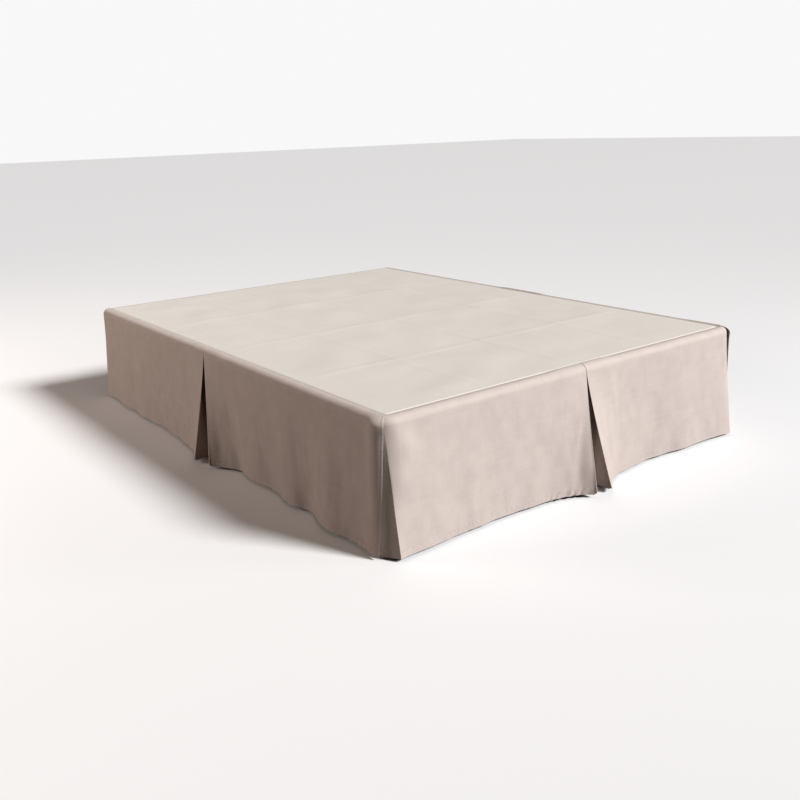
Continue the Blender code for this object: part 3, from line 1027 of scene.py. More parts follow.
SIDE_RELIEF: tuple[Relief, ...] = (
    Flute(0.008, 0.014, -0.0018, 0.365, 0.340), Gathers(0.010, 1.000, 0.0190, 0.0005, 0.028, 0.25),
    Crease(0.315, 0.352, 0.309, 0.060, 0.0040, 0.0007), Crease(0.100, 0.205, 0.960, 0.214, 0.0045, 0.0004),
    Flute(0.718, 0.034, -0.0012, 0.20, 0.03), Flute(0.471, 0.045, 0.0010, 0.28, 0.08),
    Flute(0.971, 0.018, -0.0009, 0.22, 0.08), Flute(0.900, 0.034, -0.0008, 0.33, 0.12),
    Crease(0.640, 0.330, 0.560, 0.200, 0.0220, 0.0008), Crease(0.150, 0.300, 0.210, 0.120, 0.0200, 0.0008),
    Flute(1.120, 0.030, -0.0022, 0.34, 0.10), Flute(1.330, 0.045, 0.0016, 0.30, 0.05),
    Crease(1.220, 0.340, 1.160, 0.120, 0.0150, 0.0009), Crease(1.640, 0.352, 1.652, 0.060, 0.0040, 0.0007),
)
FOOT_RELIEF: tuple[Relief, ...] = (
    Crease(0.736, 0.345, 0.729, 0.140, 0.0150, -0.0014), Crease(0.731, 0.190, 0.697, 0.020, 0.0180, -0.0018),
    Flute(0.295, 0.017, 0.0011, 0.22, 0.10), Flute(0.337, 0.015, 0.0008, 0.20, 0.10),
    Crease(0.120, 0.180, 0.190, 0.020, 0.0190, 0.0014), Crease(0.380, 0.331, 0.402, 0.317, 0.0060, 0.0012),
    Crease(0.752, 0.340, 0.640, 0.235, 0.0120, -0.0012), Crease(0.745, 0.300, 0.690, 0.110, 0.0090, 0.0012),
    Crease(0.600, 0.340, 0.560, 0.180, 0.0250, 0.0012), Crease(0.430, 0.300, 0.520, 0.150, 0.0300, -0.0010),
    Crease(0.070, 0.362, 0.058, 0.150, 0.0340, 0.0062), Gathers(0.560, 0.790, 0.0270, 0.0068, 0.034, -0.75),
    Flute(0.810, 0.010, 0.0013, 0.36, 0.24), Flute(0.840, 0.018, -0.0024, 0.34, 0.12),
    Crease(0.880, 0.330, 0.905, 0.180, 0.0120, 0.0012), Crease(0.960, 0.300, 1.010, 0.160, 0.0160, -0.0010),
    Gathers(0.772, 0.900, 0.0200, 0.0014, 0.038, -0.40),
    Gathers(0.030, 0.600, 0.0240, 0.0009, 0.036, -0.35),
)


# The small waves: how many, their lengths, the spread of their lean, and their depth at 0.1 m long
WAVE_COUNT = 40
WAVE_LENGTHS = (0.035, 0.20)
WAVE_LEAN = 0.45
WAVE_DEPTH = 0.00013
# The share of the relief that the flaps lose near the top of the pleat, how near to it, and how high
CALM = 0.65
CALM_REACH = (0.110, 0.080)
CALM_HEIGHTS = (0.20, 0.32)


def small_waves(tops: np.ndarray, heights: np.ndarray, seed: int) -> np.ndarray:
    """Give the small uneven waves that cloth keeps, which fade out towards the seam.

    Args:
        tops: Distances along the seam.
        heights: Heights over the floor.
        seed: The seed of their unevenness.

    Returns:
        The relief.
    """
    rng = np.random.default_rng(seed)
    shape = np.zeros(np.broadcast_shapes(tops.shape, heights.shape))
    for _ in range(WAVE_COUNT):
        wave = rng.uniform(*WAVE_LENGTHS)
        lean = rng.normal(0.0, WAVE_LEAN)
        phase = rng.uniform(0.0, 2 * math.pi)
        shape += WAVE_DEPTH * (wave / 0.10)**0.8 * np.sin(2 * math.pi * (tops + lean * heights) / wave + phase)
    return shape * (0.25 + 0.75 * ramp(heights, 0.34, 0.12)) * ramp(heights, 0.372, 0.345)


@dataclass
class Drop:
    """A drop of the skirt: one cloth from the seam to the hem, with its pleat."""

    name: str
    face: Face
    flat: tuple[float, float]
    relief: tuple[Relief, ...] = ()
    seed: int = 1
    sizes: ClothSizes = field(default_factory=ClothSizes)

    def pattern(self) -> np.ndarray:
        """Lay out the drop's lines.

        Returns:
            Rows of top, layer, along, out, shown and tip.
        """
        pattern = Pattern(self.face, self.sizes)
        length = self.face.length
        centre = length / 2
        gap = self.sizes.fold_gap + self.sizes.fold_tip

        def pleat_layer(top: np.ndarray) -> np.ndarray:
            """Rise to the second layer near the pleat."""
            return 2 * ramp(np.abs(top - centre), *PLEAT_RISE)

        def side_layer(top: np.ndarray) -> np.ndarray:
            """Rise also over the foot drop's end near the corner."""
            return np.maximum(pleat_layer(top), ramp(top, *LAP_RISE))

        if self.face.side is Side.FOOT:
            pattern.lap()
            pattern.panel(FOOT_LEFT_HEM, FOOT_CREASE, centre - gap, pleat_layer)
            pattern.pleat(FOOT_PLEAT_HEM, FOOT_LEFT_HEM[-1], FOOT_RIGHT_HEM[0])
            pattern.panel(FOOT_RIGHT_HEM, centre + gap, length - FOOT_CREASE, pleat_layer)
            pattern.lap(mirrored=True)
        else:
            pattern.panel(SIDE_FRONT_HEM, SIDE_END, centre - gap, side_layer)
            pattern.pleat(SIDE_PLEAT_HEM, SIDE_FRONT_HEM[-1], SIDE_REAR_HEM[0])
            pattern.panel(SIDE_REAR_HEM, centre + gap, length - SIDE_END, side_layer)
        return pattern.lines()

    def rows(self) -> list[tuple[str, float]]:
        """List the rows: from under the deck's edge round the shoulder, down, and through the hem.

        Returns:
            Kinds of row with their value: an inset from the face, an angle in degrees, or a share of
            the way down.
        """
        sizes = self.sizes
        fall = self.face.bed.shoulder - sizes.hem_height
        band = sizes.hem_depth / fall
        plain = round((1.0 - band) * fall / sizes.row_step)
        inner = sizes.seam_inset + sizes.seam_allowance
        rows = [("inset", inset) for inset in (inner, inner - 0.005, sizes.seam_inset, 0.0275, 0.0250, 0.0225)]
        rows += [("angle", angle) for angle in np.linspace(0.0, 90.0, 10)]
        rows += [("share", share) for share in np.linspace(0.0, 1.0 - band, plain + 1)[1:-1]]
        rows += [("share", 1.0 - band * part) for part in (1.30, 1.12, 1.0, 0.88, 0.66, 0.44, 0.22, 0.06, 0.0)]
        return rows

    def lift(self, lines: np.ndarray) -> np.ndarray:
        """Give how far the hem is rounded up at the flaps' edges and at the cloth's ends."""
        travel = travel_along(lines[:, 2:4])
        lift = np.zeros(len(lines))
        for place in travel[lines[:, 5] > 0]:
            lift += self.sizes.tip_lift * np.exp(-((travel - place) / self.sizes.tip_reach)**2)
        short = np.clip(self.sizes.corner_rounding - np.minimum(travel, travel[-1] - travel), 0.0, None)
        return lift + self.sizes.corner_rounding - np.sqrt(self.sizes.corner_rounding**2 - short**2)

    def standoff(self, tops: np.ndarray) -> np.ndarray:
        """Give how far the cloth stands off at the split corners, the side drop over the foot drop's end."""
        if self.face.side is not Side.FOOT:
            return self.sizes.end_standoff * ramp(tops, *END_STANDOFF)
        near = np.minimum(tops, self.face.length - tops)
        before, after = TURN_STANDOFF
        return self.sizes.under_standoff * ramp(near, *before) * ramp(near, *after)

    def surface(self, lines: np.ndarray, rows: Sequence[tuple[str, float]]) -> np.ndarray:
        """Hang the lines: over the shoulder first, then down to the hem.

        Args:
            lines: The drop's lines.
            rows: Its rows.

        Returns:
            A grid of places, rows by lines.
        """
        bed, sizes = self.face.bed, self.sizes
        tops, layers, along, out = lines.T[:4]
        rim, outward = self.face.rim(tops)
        offset = sizes.clearance + sizes.solid_thick / 2 + layers * sizes.layer_pitch
        pressed = sizes.seam_rise + layers * sizes.seam_pitch
        standoff = self.standoff(tops)
        hem_height = sizes.hem_height + sizes.hem_rise * np.maximum(out, 0.0) + self.lift(lines)
        hem = self.face.at(along, out)
        hanging = (out < offset) & (tops >= bed.corner_radius) & (tops <= self.face.length - bed.corner_radius)
        grid = np.zeros((len(rows), len(lines), 3))
        for number, (kind, value) in enumerate(rows):
            if kind == "inset":
                plan = rim - outward * value
                height = bed.top + pressed + (offset - pressed) * ramp(value, sizes.seam_inset, bed.shoulder_radius)
            elif kind == "angle":
                angle = math.radians(value)
                reach = bed.shoulder_radius + offset
                swing = reach * math.sin(angle) + standoff * math.sin(angle)**2
                plan = rim + outward * (swing - bed.shoulder_radius)[:, None]
                height = bed.shoulder + reach * math.cos(angle)
            else:
                height = bed.shoulder - value * (bed.shoulder - hem_height)
                weight = value**sizes.flare_power
                plan = (rim + outward * (offset + standoff)[:, None]) * (1 - weight) + hem * weight
                below = ramp((bed.bottom - height) / (bed.bottom - hem_height), 0.0, 1.0)
                under = self.face.at(tops + (along - tops) * weight, offset + (out - offset) * below)
                plan = np.where(hanging[:, None], under, plan)
            grid[number, :, :2] = plan
            grid[number, :, 2] = height
        return grid

    def outward(self, grid: np.ndarray) -> np.ndarray:
        """Give the outward direction all over a grid of places."""
        normal = np.cross(np.gradient(grid, axis=0), np.gradient(grid, axis=1))
        normal /= np.maximum(np.linalg.norm(normal, axis=2, keepdims=True), 1e-12)
        return -normal if self.face.side is Side.LEFT else normal

    def stand_out(self, grid: np.ndarray, lines: np.ndarray) -> np.ndarray:
        """Work out how far the shown cloth stands in or out of its plain surface.

        Args:
            grid: The plain surface.
            lines: The drop's lines.

        Returns:
            A distance for each place.
        """
        tops = np.broadcast_to(lines[:, 0], grid.shape[:2])
        heights = grid[:, :, 2]
        shape = small_waves(tops, heights, self.seed)
        if self.face.side is not Side.FOOT:
            shape = shape * (0.4 + 0.6 * ramp(tops, 0.06, 0.16))
        for feature in self.relief:
            shape = shape + feature.shape(tops, heights)
        shown = np.convolve(np.pad(lines[:, 4], 2, mode="edge"), np.ones(5) / 5, mode="valid") * (lines[:, 4] > 0)
        from_pleat = np.abs(tops - self.face.length / 2)
        calm = 1 - CALM * ramp(from_pleat, *CALM_REACH) * ramp(heights, *CALM_HEIGHTS)
        return shape * shown[None, :] * ramp(from_pleat, 0.0, 0.012) * calm

    def build(self) -> bpy.types.Object:
        """Build the drop's sheet.

        Returns:
            The piece, with its maps: cloth, from one end and up from the hem, and edge, from the
            nearest end and down from the seam.
        """
        lines = self.pattern()
        near_ends = [0.9 * lines[0] + 0.1 * lines[1], 0.9 * lines[-1] + 0.1 * lines[-2]]
        lines = np.insert(lines, [1, -1], near_ends, axis=0)
        grid = self.surface(lines, self.rows())
        across = (travel_along(grid[12]) + travel_along(grid[-1])) / 2
        down = travel_along(grid[:, len(lines) // 4])
        grid += self.outward(grid) * self.stand_out(grid, lines)[:, :, None]
        cloth = np.stack(np.meshgrid(across, down[-1] - down), axis=-1)
        edge = np.stack(np.meshgrid(np.minimum(across, across[-1] - across), down - down[2]), axis=-1)
        piece = grid_piece(self.name, grid, {"cloth": cloth, "edge": edge}, flip=self.face.side is Side.LEFT)
        doubled = (cloth[:, :, 1] < self.sizes.hem_depth + 1e-4) | (edge[:, :, 0] < self.sizes.edge_hem)
        share = np.where(doubled, 1.0, self.sizes.single_share)
        share[:, [0, 1, -2, -1]] = self.sizes.rim_share
        give_thickness(piece, self.sizes.thick, share)
        return piece


@dataclass
class Deck:
    """The flat cloth on top of the box spring, sewn to the drops and hemmed at the head."""

    bed: Bed
    inset: float = 0.0305
    step: float = 0.012
    thick: float = 0.0006
    head_hem: float = 0.020
    rise: float = 0.0012
    edge_sink: float = 0.0009
    wave_count: int = 34
    wave_depth: float = 0.0004
    slack_rise: float = 0.0008
    fold_places: tuple[tuple[float, ...], tuple[float, ...]] = ((-0.366, 0.002, 0.368), (-0.50, -0.01, 0.49))
    fold_rise: float = 0.0016
    fold_width: float = 0.009
    seed: int = 7

    def corners(self) -> tuple[np.ndarray, np.ndarray]:
        """Give the deck's lowest and highest corner, seen from above."""
        low = np.array([-self.bed.half_width + self.inset, self.bed.foot + self.inset])
        return low, np.array([self.bed.half_width - self.inset, self.bed.head - self.inset])

    def flat(self) -> tuple[float, float]:
        """Give the size of the cloth laid flat."""
        low, high = self.corners()
        return float(high[0] - low[0]), float(high[1] - low[1])

    def build(self) -> bpy.types.Object:
        """Build the deck's sheet, nearly flat, with slack and old fold lines.

        Returns:
            The piece, with its maps: cloth, in place; edge, from the nearest sewn edge and along it;
            and head, from the hemmed edge and along it.
        """
        low, high = self.corners()
        counts = np.round((high - low) / self.step).astype(int)
        x, y = (np.linspace(0.0, 1.0, count + 1) for count in counts)
        share = np.stack(np.meshgrid(x, y[::-1]), axis=-1)
        square = low + share * (high - low)
        plan = self.round_corners(square.reshape(-1, 2), low, high).reshape(square.shape)
        sunk = self.edge_sink * (np.minimum(square - low, high - square).min(axis=-1) < 1e-6)
        grid = np.dstack((plan, self.bed.top + self.rise - sunk + self.slack(plan, low, high)))
        from_side = np.minimum(square[..., 0] - low[0], high[0] - square[..., 0])
        from_foot = square[..., 1] - low[1]
        from_head = high[1] - square[..., 1]
        edge = np.stack((np.minimum(from_side, from_foot), plan.sum(axis=-1)), axis=-1)
        head = np.stack((from_head, plan[..., 0]), axis=-1)
        piece = grid_piece("deck_cloth", grid, {"cloth": plan - low, "edge": edge, "head": head})
        doubled = from_head < self.head_hem
        give_thickness(piece, 2 * self.thick, np.where(doubled, 1.0, 0.5))
        return piece

    def round_corners(self, flat: np.ndarray, low: np.ndarray, high: np.ndarray) -> np.ndarray:
        """Pull the corner places onto the rounded outline.

        Args:
            flat: Places seen from above.
            low: The deck's lowest corner.
            high: Its highest corner.

        Returns:
            The places, inside the rounded outline.
        """
        radius = self.bed.corner_radius - self.inset
        centre = np.clip(flat, low + radius, high - radius)
        away = flat - centre
        distance = np.linalg.norm(away, axis=1, keepdims=True)
        square = np.abs(away).max(axis=1, keepdims=True)
        corner = (np.abs(away) > 1e-9).all(axis=1, keepdims=True)
        return np.where(corner, centre + away * square / np.maximum(distance, 1e-9), flat)

    def slack(self, plan: np.ndarray, low: np.ndarray, high: np.ndarray) -> np.ndarray:
        """Work out the deck's small rise over the spring.

        Args:
            plan: Places seen from above.
            low: The deck's lowest corner.
            high: Its highest corner.

        Returns:
            A height for each place.
        """
        rng = np.random.default_rng(self.seed)
        x, y = plan[..., 0], plan[..., 1]
        inside = ramp(np.minimum(plan - low, high - plan).min(axis=-1), 0.010, 0.110)
        height = np.zeros(x.shape)
        for _ in range(self.wave_count):
            wave = rng.uniform(0.16, 0.60)
            angle = rng.uniform(0.0, math.pi)
            phase = rng.uniform(0.0, 2 * math.pi)
            travel = x * math.cos(angle) + y * math.sin(angle)
            height += self.wave_depth * (wave / 0.4) * np.sin(2 * math.pi * travel / wave + phase)
        height = np.maximum(height + self.slack_rise, 0.0) * inside
        for distance, places in ((x, self.fold_places[0]), (y, self.fold_places[1])):
            for place in places:
                height += self.fold_rise * np.exp(-((distance - place) / self.fold_width)**2) * inside
        return height


# The bed base


@dataclass
class BoxSpring:
    """The box spring's cover: ticking over a padded border, two cords, and a dust cover beneath."""

    bed: Bed
    inset: float = 0.0016
    cord: float = 0.0026
    puff: float = 0.0012
    groove: float = 0.0010
    gap: float = 0.0004
    cord_sink: float = 0.0012
    dust_margin: float = 0.044
    step: float = 0.020

    def outline(self, inset: float) -> tuple[np.ndarray, np.ndarray, np.ndarray]:
        """Follow the cover's outline once round.

        Args:
            inset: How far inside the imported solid's outline it lies.

        Returns:
            Places seen from above, outward directions, and the running length.
        """
        middle, half, radius = self.bed.middle, self.bed.arc_reach, self.bed.corner_radius
        corners = ((1, -1), (1, 1), (-1, 1), (-1, -1))
        places, normals = [], []
        for number, corner in enumerate(corners):
            start = -math.pi / 2 + number * math.pi / 2
            angles = np.linspace(start, start + math.pi / 2, 11)
            normal = np.column_stack((np.cos(angles), np.sin(angles)))
            arc = middle + half * np.array(corner) + normal * (radius - inset)
            onward = middle + half * np.array(corners[(number + 1) % 4]) + normal[-1] * (radius - inset)
            count = round(float(np.linalg.norm(onward - arc[-1])) / self.step)
            share = np.linspace(0.0, 1.0, count + 1)[1:-1, None]
            places += [arc, arc[-1] * (1 - share) + onward * share]
            normals += [normal, np.repeat(normal[-1:], count - 1, axis=0)]
        plan, direction = np.concatenate(places), np.concatenate(normals)
        plan, direction = np.vstack((plan, plan[:1])), np.vstack((direction, direction[:1]))
        return plan, direction, travel_along(plan)

    def profile(self) -> np.ndarray:
        """Give the cover's profile from the middle of the top down to the underside.

        Returns:
            Rows of distance inside the outline, and height.
        """
        bed = self.bed
        rows = [(inset, bed.top - self.gap) for inset in (bed.half_width, 0.50, 0.30, 0.16, 0.09, 0.05, 0.030)]
        radius = bed.shoulder_radius
        for angle in np.radians(np.linspace(0.0, 90.0, 9)):
            rows.append((radius * (1 - math.sin(angle)), bed.top - radius + radius * math.cos(angle) - self.gap))
        upper, lower = bed.shoulder - 0.004, bed.bottom + 0.010
        for share in np.linspace(0.0, 1.0, 15):
            bulge = self.puff * math.sin(math.pi * share)**0.6 if 0 < share < 1 else 0.0
            groove = self.groove * sum(math.exp(-((share - seam) / 0.02)**2) for seam in (0.03, 0.97))
            rows.append((groove - bulge + self.gap, upper + (lower - upper) * share))
        for angle in np.radians(np.linspace(15.0, 90.0, 5)):
            rows.append((0.006 * (1 - math.cos(angle)), bed.bottom + 0.0070 - 0.006 * math.sin(angle)))
        rows += [(0.012, bed.bottom + 0.0010), (0.040, bed.bottom + 0.0010)]
        return np.array(rows)

    def build_cover(self) -> bpy.types.Object:
        """Build the ticking cover.

        Returns:
            The piece, with its maps: cloth, round the border and down, and edge, round it and down
            from the shoulder.
        """
        bed = self.bed
        rows = self.profile()
        plan, direction, travel = self.outline(self.inset)
        middle, half = bed.middle, bed.arc_reach
        core = np.clip(plan - middle, -half, half)
        grid = np.zeros((len(rows), len(plan), 3))
        for number, (inset, height) in enumerate(rows):
            flat = middle + core * (1 - (inset - bed.corner_radius) / half.min())
            grid[number, :, :2] = flat if inset > bed.corner_radius else plan - direction * inset
            grid[number, :, 2] = height
        dents = np.abs(0.0007 * np.sin(travel / 0.31 + 1.0) + 0.0005 * np.sin(travel / 0.083))
        border = ramp(grid[:, :, 2], bed.bottom + 0.012, bed.bottom + 0.05)
        border = border * ramp(grid[:, :, 2], bed.shoulder, bed.shoulder - 0.04)
        grid[:, :, :2] -= direction[None] * (dents[None] * border)[:, :, None]
        down = travel_along(grid[:, 40])
        cloth = np.stack(np.meshgrid(travel, down), axis=-1)
        edge = np.dstack((np.broadcast_to(travel, border.shape), bed.shoulder - grid[:, :, 2]))
        return grid_piece("box_spring_cover", grid, {"cloth": cloth, "edge": edge}, closed=True)

    def build_cord(self, name: str, height: float) -> bpy.types.Object:
        """Build one covered cord round the border.

        Args:
            name: The piece's name.
            height: The height of its middle.

        Returns:
            The piece.
        """
        plan, direction, travel = self.outline(self.inset + self.cord - self.cord_sink)
        turns = np.linspace(0.0, 2 * math.pi, 11)
        grid = np.zeros((len(turns), len(plan), 3))
        for number, turn in enumerate(turns):
            grid[number, :, :2] = plan + direction * self.cord * math.cos(turn)
            grid[number, :, 2] = height + self.cord * math.sin(turn)
        cloth = np.stack(np.meshgrid(travel * 0.7, turns * self.cord), axis=-1)
        cloth[..., 0] += cloth[..., 1]
        return grid_piece(name, grid, {"cloth": cloth}, flip=True, closed=True)

    def dust_cover_flat(self) -> tuple[float, float]:
        """Give the size of the dust cover."""
        return self.bed.width - self.dust_margin, self.bed.length - self.dust_margin

    def build_dust_cover(self) -> bpy.types.Object:
        """Build the thin dust cover stapled under the box spring.

        Returns:
            The piece.
        """
        half = np.array(self.dust_cover_flat()) / 2
        low, high = self.bed.middle - half, self.bed.middle + half
        plan = np.stack(np.meshgrid(np.linspace(low[0], high[0], 61), np.linspace(low[1], high[1], 81)), axis=-1)
        edge = np.minimum(plan - low, high - plan)
        along = np.where(edge[..., 0] < edge[..., 1], plan[..., 1], plan[..., 0])
        tucks = 0.00015 * np.sin(along * 2 * math.pi / 0.13) * np.exp(-edge.min(axis=-1) / 0.05)
        grid = np.dstack((plan, self.bed.bottom + self.gap + tucks))
        piece = grid_piece("dust_cover", grid, {"cloth": plan - low}, flip=True)
        give_thickness(piece, 0.0003)
        return piece


@dataclass
class Hardware:
    """The bolts that join the frame's cross rails to its side rails, seen from beneath."""

    head: float = 0.0055
    washer: float = 0.0078
    height: float = 0.0040
    steel: float = 0.0030
    leaf_middle: float = 0.0165
    from_end: tuple[float, float] = (0.0105, 0.0270)

    def build(self) -> bpy.types.Object:
        """Build all the bolts as one piece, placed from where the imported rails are.

        Returns:
            The piece.
        """
        bolts = bmesh.new()
        for name in ("foot", "middle", "head"):
            low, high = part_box(f"cross_rail_{name}")
            for sign in (-1.0, 1.0):
                for reach in self.from_end:
                    place = Vector((sign * (high.x - reach), low.y + self.leaf_middle, high.z - self.steel))
                    self._bolt(bolts, place)
        mesh = bpy.data.meshes.new("frame_bolts")
        bolts.to_mesh(mesh)
        bolts.free()
        mesh.shade_smooth()
        mesh.set_sharp_from_angle(angle=math.radians(35))
        return put("frame_bolts", mesh)

    def _bolt(self, target: bmesh.types.BMesh, place: Vector) -> None:
        """Add a six-sided head under its washer.

        Args:
            target: The mesh to add to.
            place: Where it stands on the steel's underside.
        """
        for radius, start, end, sides, bevel in ((self.washer, 0.0003, 0.0015, 24, 0.0003),
                                                 (self.head, 0.0015, 0.0015 + self.height, 6, 0.0009)):
            matrix = Matrix.Translation(place - Vector((0.0, 0.0, (start + end) / 2)))
            made = bmesh.ops.create_cone(target, cap_ends=True, segments=sides, radius1=radius, radius2=radius,
                                         depth=end - start, matrix=matrix)
            verts = set(made["verts"])
            rims = [edge for edge in target.edges if verts.issuperset(edge.verts)
                    and abs(edge.verts[0].co.z - edge.verts[1].co.z) < 1e-6]
            bmesh.ops.bevel(target, geom=rims, offset=bevel, segments=2, profile=0.5, affect="EDGES")


# The studio


class Lamp(NamedTuple):
    """A soft light: its name, kind, place, target, strength, size or angle in degrees, and colour."""

    name: str
    kind: str
    place: tuple[float, float, float]
    target: tuple[float, float, float]
    strength: float
    spread: float
    color: Color


@dataclass(frozen=True)
class Studio:
    """A pale floor, soft light and the camera at the photo's place."""

    bed: Bed
    camera_from_corner: tuple[float, float, float] = (-1.225, -1.715, 1.098)
    heading: float = 36.86
    dip: float = 17.29
    roll: float = -1.83
    lens: float = 39.76
    lamps: tuple[Lamp, ...] = (
        Lamp("key", "SUN", (2.4, -4.2, 3.6), (0.0, 0.0, 0.2), 4.7, 16.0, (0.99, 0.99, 1.0)),
        Lamp("fill", "AREA", (-4.1, 2.3, 1.7), (-0.8, -0.1, 0.2), 90.0, 2.0, (1.0, 0.86, 0.78)),
        Lamp("side_key", "AREA", (2.5, -3.2, 1.7), (0.3, -1.0, 0.2), 29.0, 1.2, (0.93, 0.97, 1.0)),
    )
    floor_color: Color = (0.86, 0.855, 0.85)
    seen: Color = (0.94, 0.94, 0.94)
    ambient: Color = (0.032, 0.023, 0.017)
    bounce: Color = (0.085, 0.068, 0.055)

    def build(self) -> None:
        """Build the floor, the lights, the surroundings and the camera."""
        self._floor()
        self._surroundings()
        for lamp in self.lamps:
            self._light(lamp)
        self._camera()
        bpy.context.scene.view_settings.view_transform = "Standard"

    def _floor(self) -> None:
        """Lay a plain pale floor that throws little light back into the folds."""
        mesh = bpy.data.meshes.new("floor")
        plane = bmesh.new()
        bmesh.ops.create_grid(plane, x_segments=1, y_segments=1, size=40.0)
        plane.to_mesh(mesh)
        plane.free()
        material, graph, shader = new_material("floor", 0.95)
        graph.feed(shader.inputs["Base Color"], graph.seen_or_thrown(self.floor_color, self.bounce))
        mesh.materials.append(material)
        put("floor", mesh)

    def _surroundings(self) -> None:
        """Light the surroundings dimly and softly, and show them pale."""
        world = bpy.data.worlds.new("studio")
        world.use_nodes = True
        graph = Graph(world.node_tree)
        background = world.node_tree.nodes["Background"]
        graph.feed(background.inputs["Color"], graph.seen_or_thrown(self.seen, self.ambient))
        background.inputs["Strength"].default_value = 1.0
        bpy.context.scene.world = world

    @staticmethod
    def _light(lamp: Lamp) -> None:
        """Add a soft light.

        Args:
            lamp: The light.
        """
        data = bpy.data.lights.new(lamp.name, lamp.kind)
        data.energy = lamp.strength
        data.color = lamp.color
        if lamp.kind == "SUN":
            data.angle = math.radians(lamp.spread)
        else:
            data.size = lamp.spread
        made = put(lamp.name, data)
        made.location = lamp.place
        made.visible_camera = False
        made.rotation_euler = (Vector(lamp.target) - Vector(lamp.place)).to_track_quat("-Z", "Y").to_euler()

    def _camera(self) -> None:
        """Place the camera and turn it, dip it and roll it as the photo's."""
        data = bpy.data.cameras.new("camera")
        data.sensor_width = 36.0
        data.lens = self.lens
        camera = put("camera", data)
        corner = Vector((-self.bed.half_width, self.bed.foot, 0.0))
        camera.location = corner + Vector(self.camera_from_corner)
        turn = Matrix.Rotation(math.radians(-self.heading), 3, "Z")
        tip = Matrix.Rotation(math.radians(90.0 - self.dip), 3, "X")
        roll = Matrix.Rotation(math.radians(self.roll), 3, "Z")
        camera.rotation_euler = (turn @ tip @ roll).to_euler()
        bpy.context.scene.camera = camera


# The whole part


@dataclass(frozen=True)
class Finishes:
    """The finish of each kind of piece."""

    drop: ClothFinish = ClothFinish(
        "drop_cloth", (0.585, 0.500, 0.457), (0.484, 0.409, 0.372), (0.36, 0.295, 0.260), slub=1.3,
        mottle_scale=24.0, hem_depth=ClothSizes.hem_depth,
        rows=(StitchRow("edge", "Y", 0.0080), StitchRow("edge", "X", 0.0080)))
    deck: ClothFinish = ClothFinish(
        "deck_cloth", (0.71, 0.675, 0.61), (0.67, 0.63, 0.565), (0.80, 0.76, 0.68), threads=1700.0, slub=0.9,
        weave_height=0.06, roughness=0.9, sheen=0.05,
        rows=(StitchRow("edge", "Y", 0.0030), StitchRow("head", "Y", 0.0180)))
    ticking: ClothFinish = ClothFinish(
        "ticking", (0.80, 0.775, 0.72), (0.74, 0.71, 0.65), (0.84, 0.82, 0.78), threads=2000.0, slub=0.7,
        stripe=(0.52, 0.50, 0.47),
        rows=(StitchRow("edge", "X", 0.0100, 0.0035), StitchRow("edge", "X", 0.170, 0.0035)))
    cord: ClothFinish = ClothFinish(
        "cord_cloth", (0.74, 0.71, 0.65), (0.67, 0.635, 0.57), (0.80, 0.80, 0.80), threads=2000.0)
    dust: ClothFinish = ClothFinish(
        "dust_cloth", (0.085, 0.083, 0.080), (0.055, 0.054, 0.052), (0.20, 0.20, 0.20), threads=900.0, slub=1.2,
        weave_height=0.10, roughness=0.95, sheen=0.0)
    steel: HardFinish = HardFinish(
        "frame_steel", (0.030, 0.030, 0.033), (0.060, 0.058, 0.056), (0.36, 0.60), coat=0.15)
    zinc: HardFinish = HardFinish(
        "bolt_steel", (0.62, 0.62, 0.61), (0.45, 0.44, 0.42), (0.30, 0.50), metallic=1.0)
    plastic: HardFinish = HardFinish(
        "glide_plastic", (0.020, 0.020, 0.020), (0.045, 0.043, 0.040), (0.45, 0.65))


def show(piece: bpy.types.Object, material: bpy.types.Material, slot: str, *nodes: str) -> None:
    """Dress a piece, let it ride on the part, and let it stand for its solids.

    Args:
        piece: The piece.
        material: Its finish.
        slot: The record's material slot, which is not used.
        nodes: The solids that it replaces.
    """
    piece.data.materials.append(material)
    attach(piece, "root")
    if nodes:
        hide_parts(*nodes)
    LOG.info("%s: %d faces before its thickness", piece.name, len(piece.data.polygons))


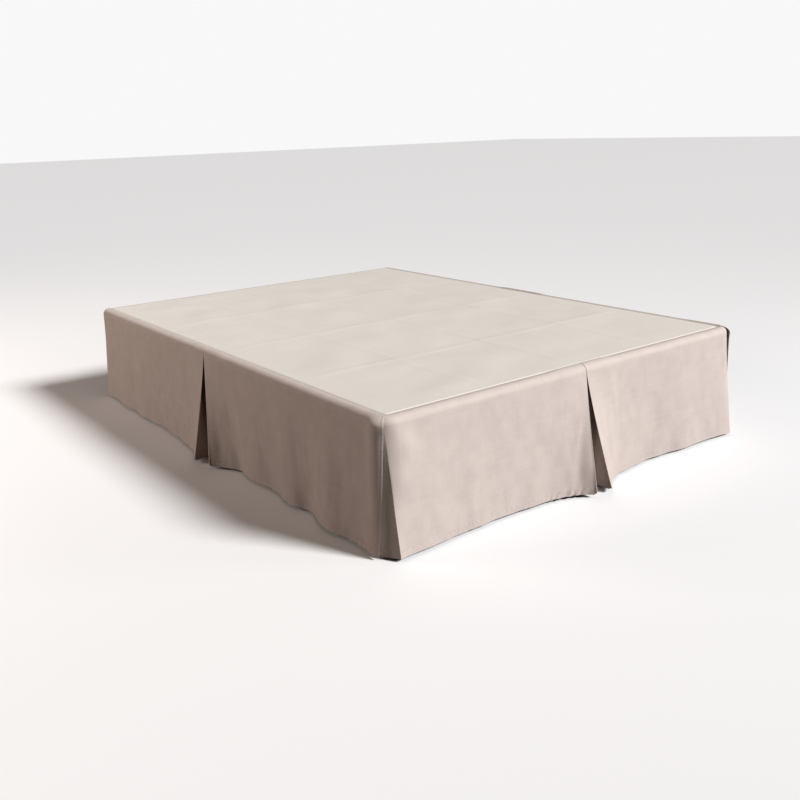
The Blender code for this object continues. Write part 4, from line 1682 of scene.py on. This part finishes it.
def dress_skirt(bed: Bed, shading: Shading, finishes: Finishes) -> None:
    """Build the drops and the deck.

    Args:
        bed: The bed's sizes.
        shading: The shared node groups.
        finishes: The finishes.
    """
    material = finishes.drop.make(shading)
    for number, side in enumerate(Side):
        node = "foot_drop" if side is Side.FOOT else f"side_drop_{side.value}"
        flat = (2.00, 0.41) if side is Side.FOOT else (2.32, 0.41)
        relief = FOOT_RELIEF if side is Side.FOOT else SIDE_RELIEF
        drop = Drop(f"{node}_cloth", Face(bed, side), flat, relief, seed=11 + number)
        piece = drop.build()
        show(piece, material, "drop_cloth", node)
    deck = Deck(bed)
    piece = deck.build()
    show(piece, finishes.deck.make(shading), "deck_cloth", "deck")
    deck.flat()


def dress_base(bed: Bed, shading: Shading, finishes: Finishes) -> None:
    """Cover the box spring and finish the steel frame.

    Args:
        bed: The bed's sizes.
        shading: The shared node groups.
        finishes: The finishes.
    """
    spring = BoxSpring(bed)
    cord_cloth = finishes.cord.make(shading)
    show(spring.build_cover(), finishes.ticking.make(shading), "ticking", "box_spring")
    show(spring.build_cord("upper_cord", bed.shoulder - 0.001), cord_cloth, "ticking")
    show(spring.build_cord("lower_cord", bed.bottom + 0.0085), cord_cloth, "ticking")
    dust_cover = spring.build_dust_cover()
    show(dust_cover, finishes.dust.make(shading), "ticking")
    spring.dust_cover_flat()
    show(Hardware().build(), finishes.zinc.make(shading), "frame_steel")
    steel, plastic = finishes.steel.make(shading), finishes.plastic.make(shading)
    for node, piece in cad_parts.items():
        if node.startswith(("side_rail", "cross_rail", "leg", "glide")):
            piece.data.materials.clear()
            piece.data.materials.append(plastic if node.startswith("glide") else steel)
            LOG.info("%s: finished in place", node)


def main() -> None:
    """Build the skirt's cloth, dress the base, and set the studio."""
    logging.basicConfig(level=logging.INFO, format="%(message)s")
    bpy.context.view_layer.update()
    bed = bed_from_frame()
    shading = Shading()
    finishes = Finishes()
    Studio(bed).build()
    dress_base(bed, shading, finishes)
    dress_skirt(bed, shading, finishes)
    bpy.context.view_layer.update()


if __name__ == "__main__":
    main()
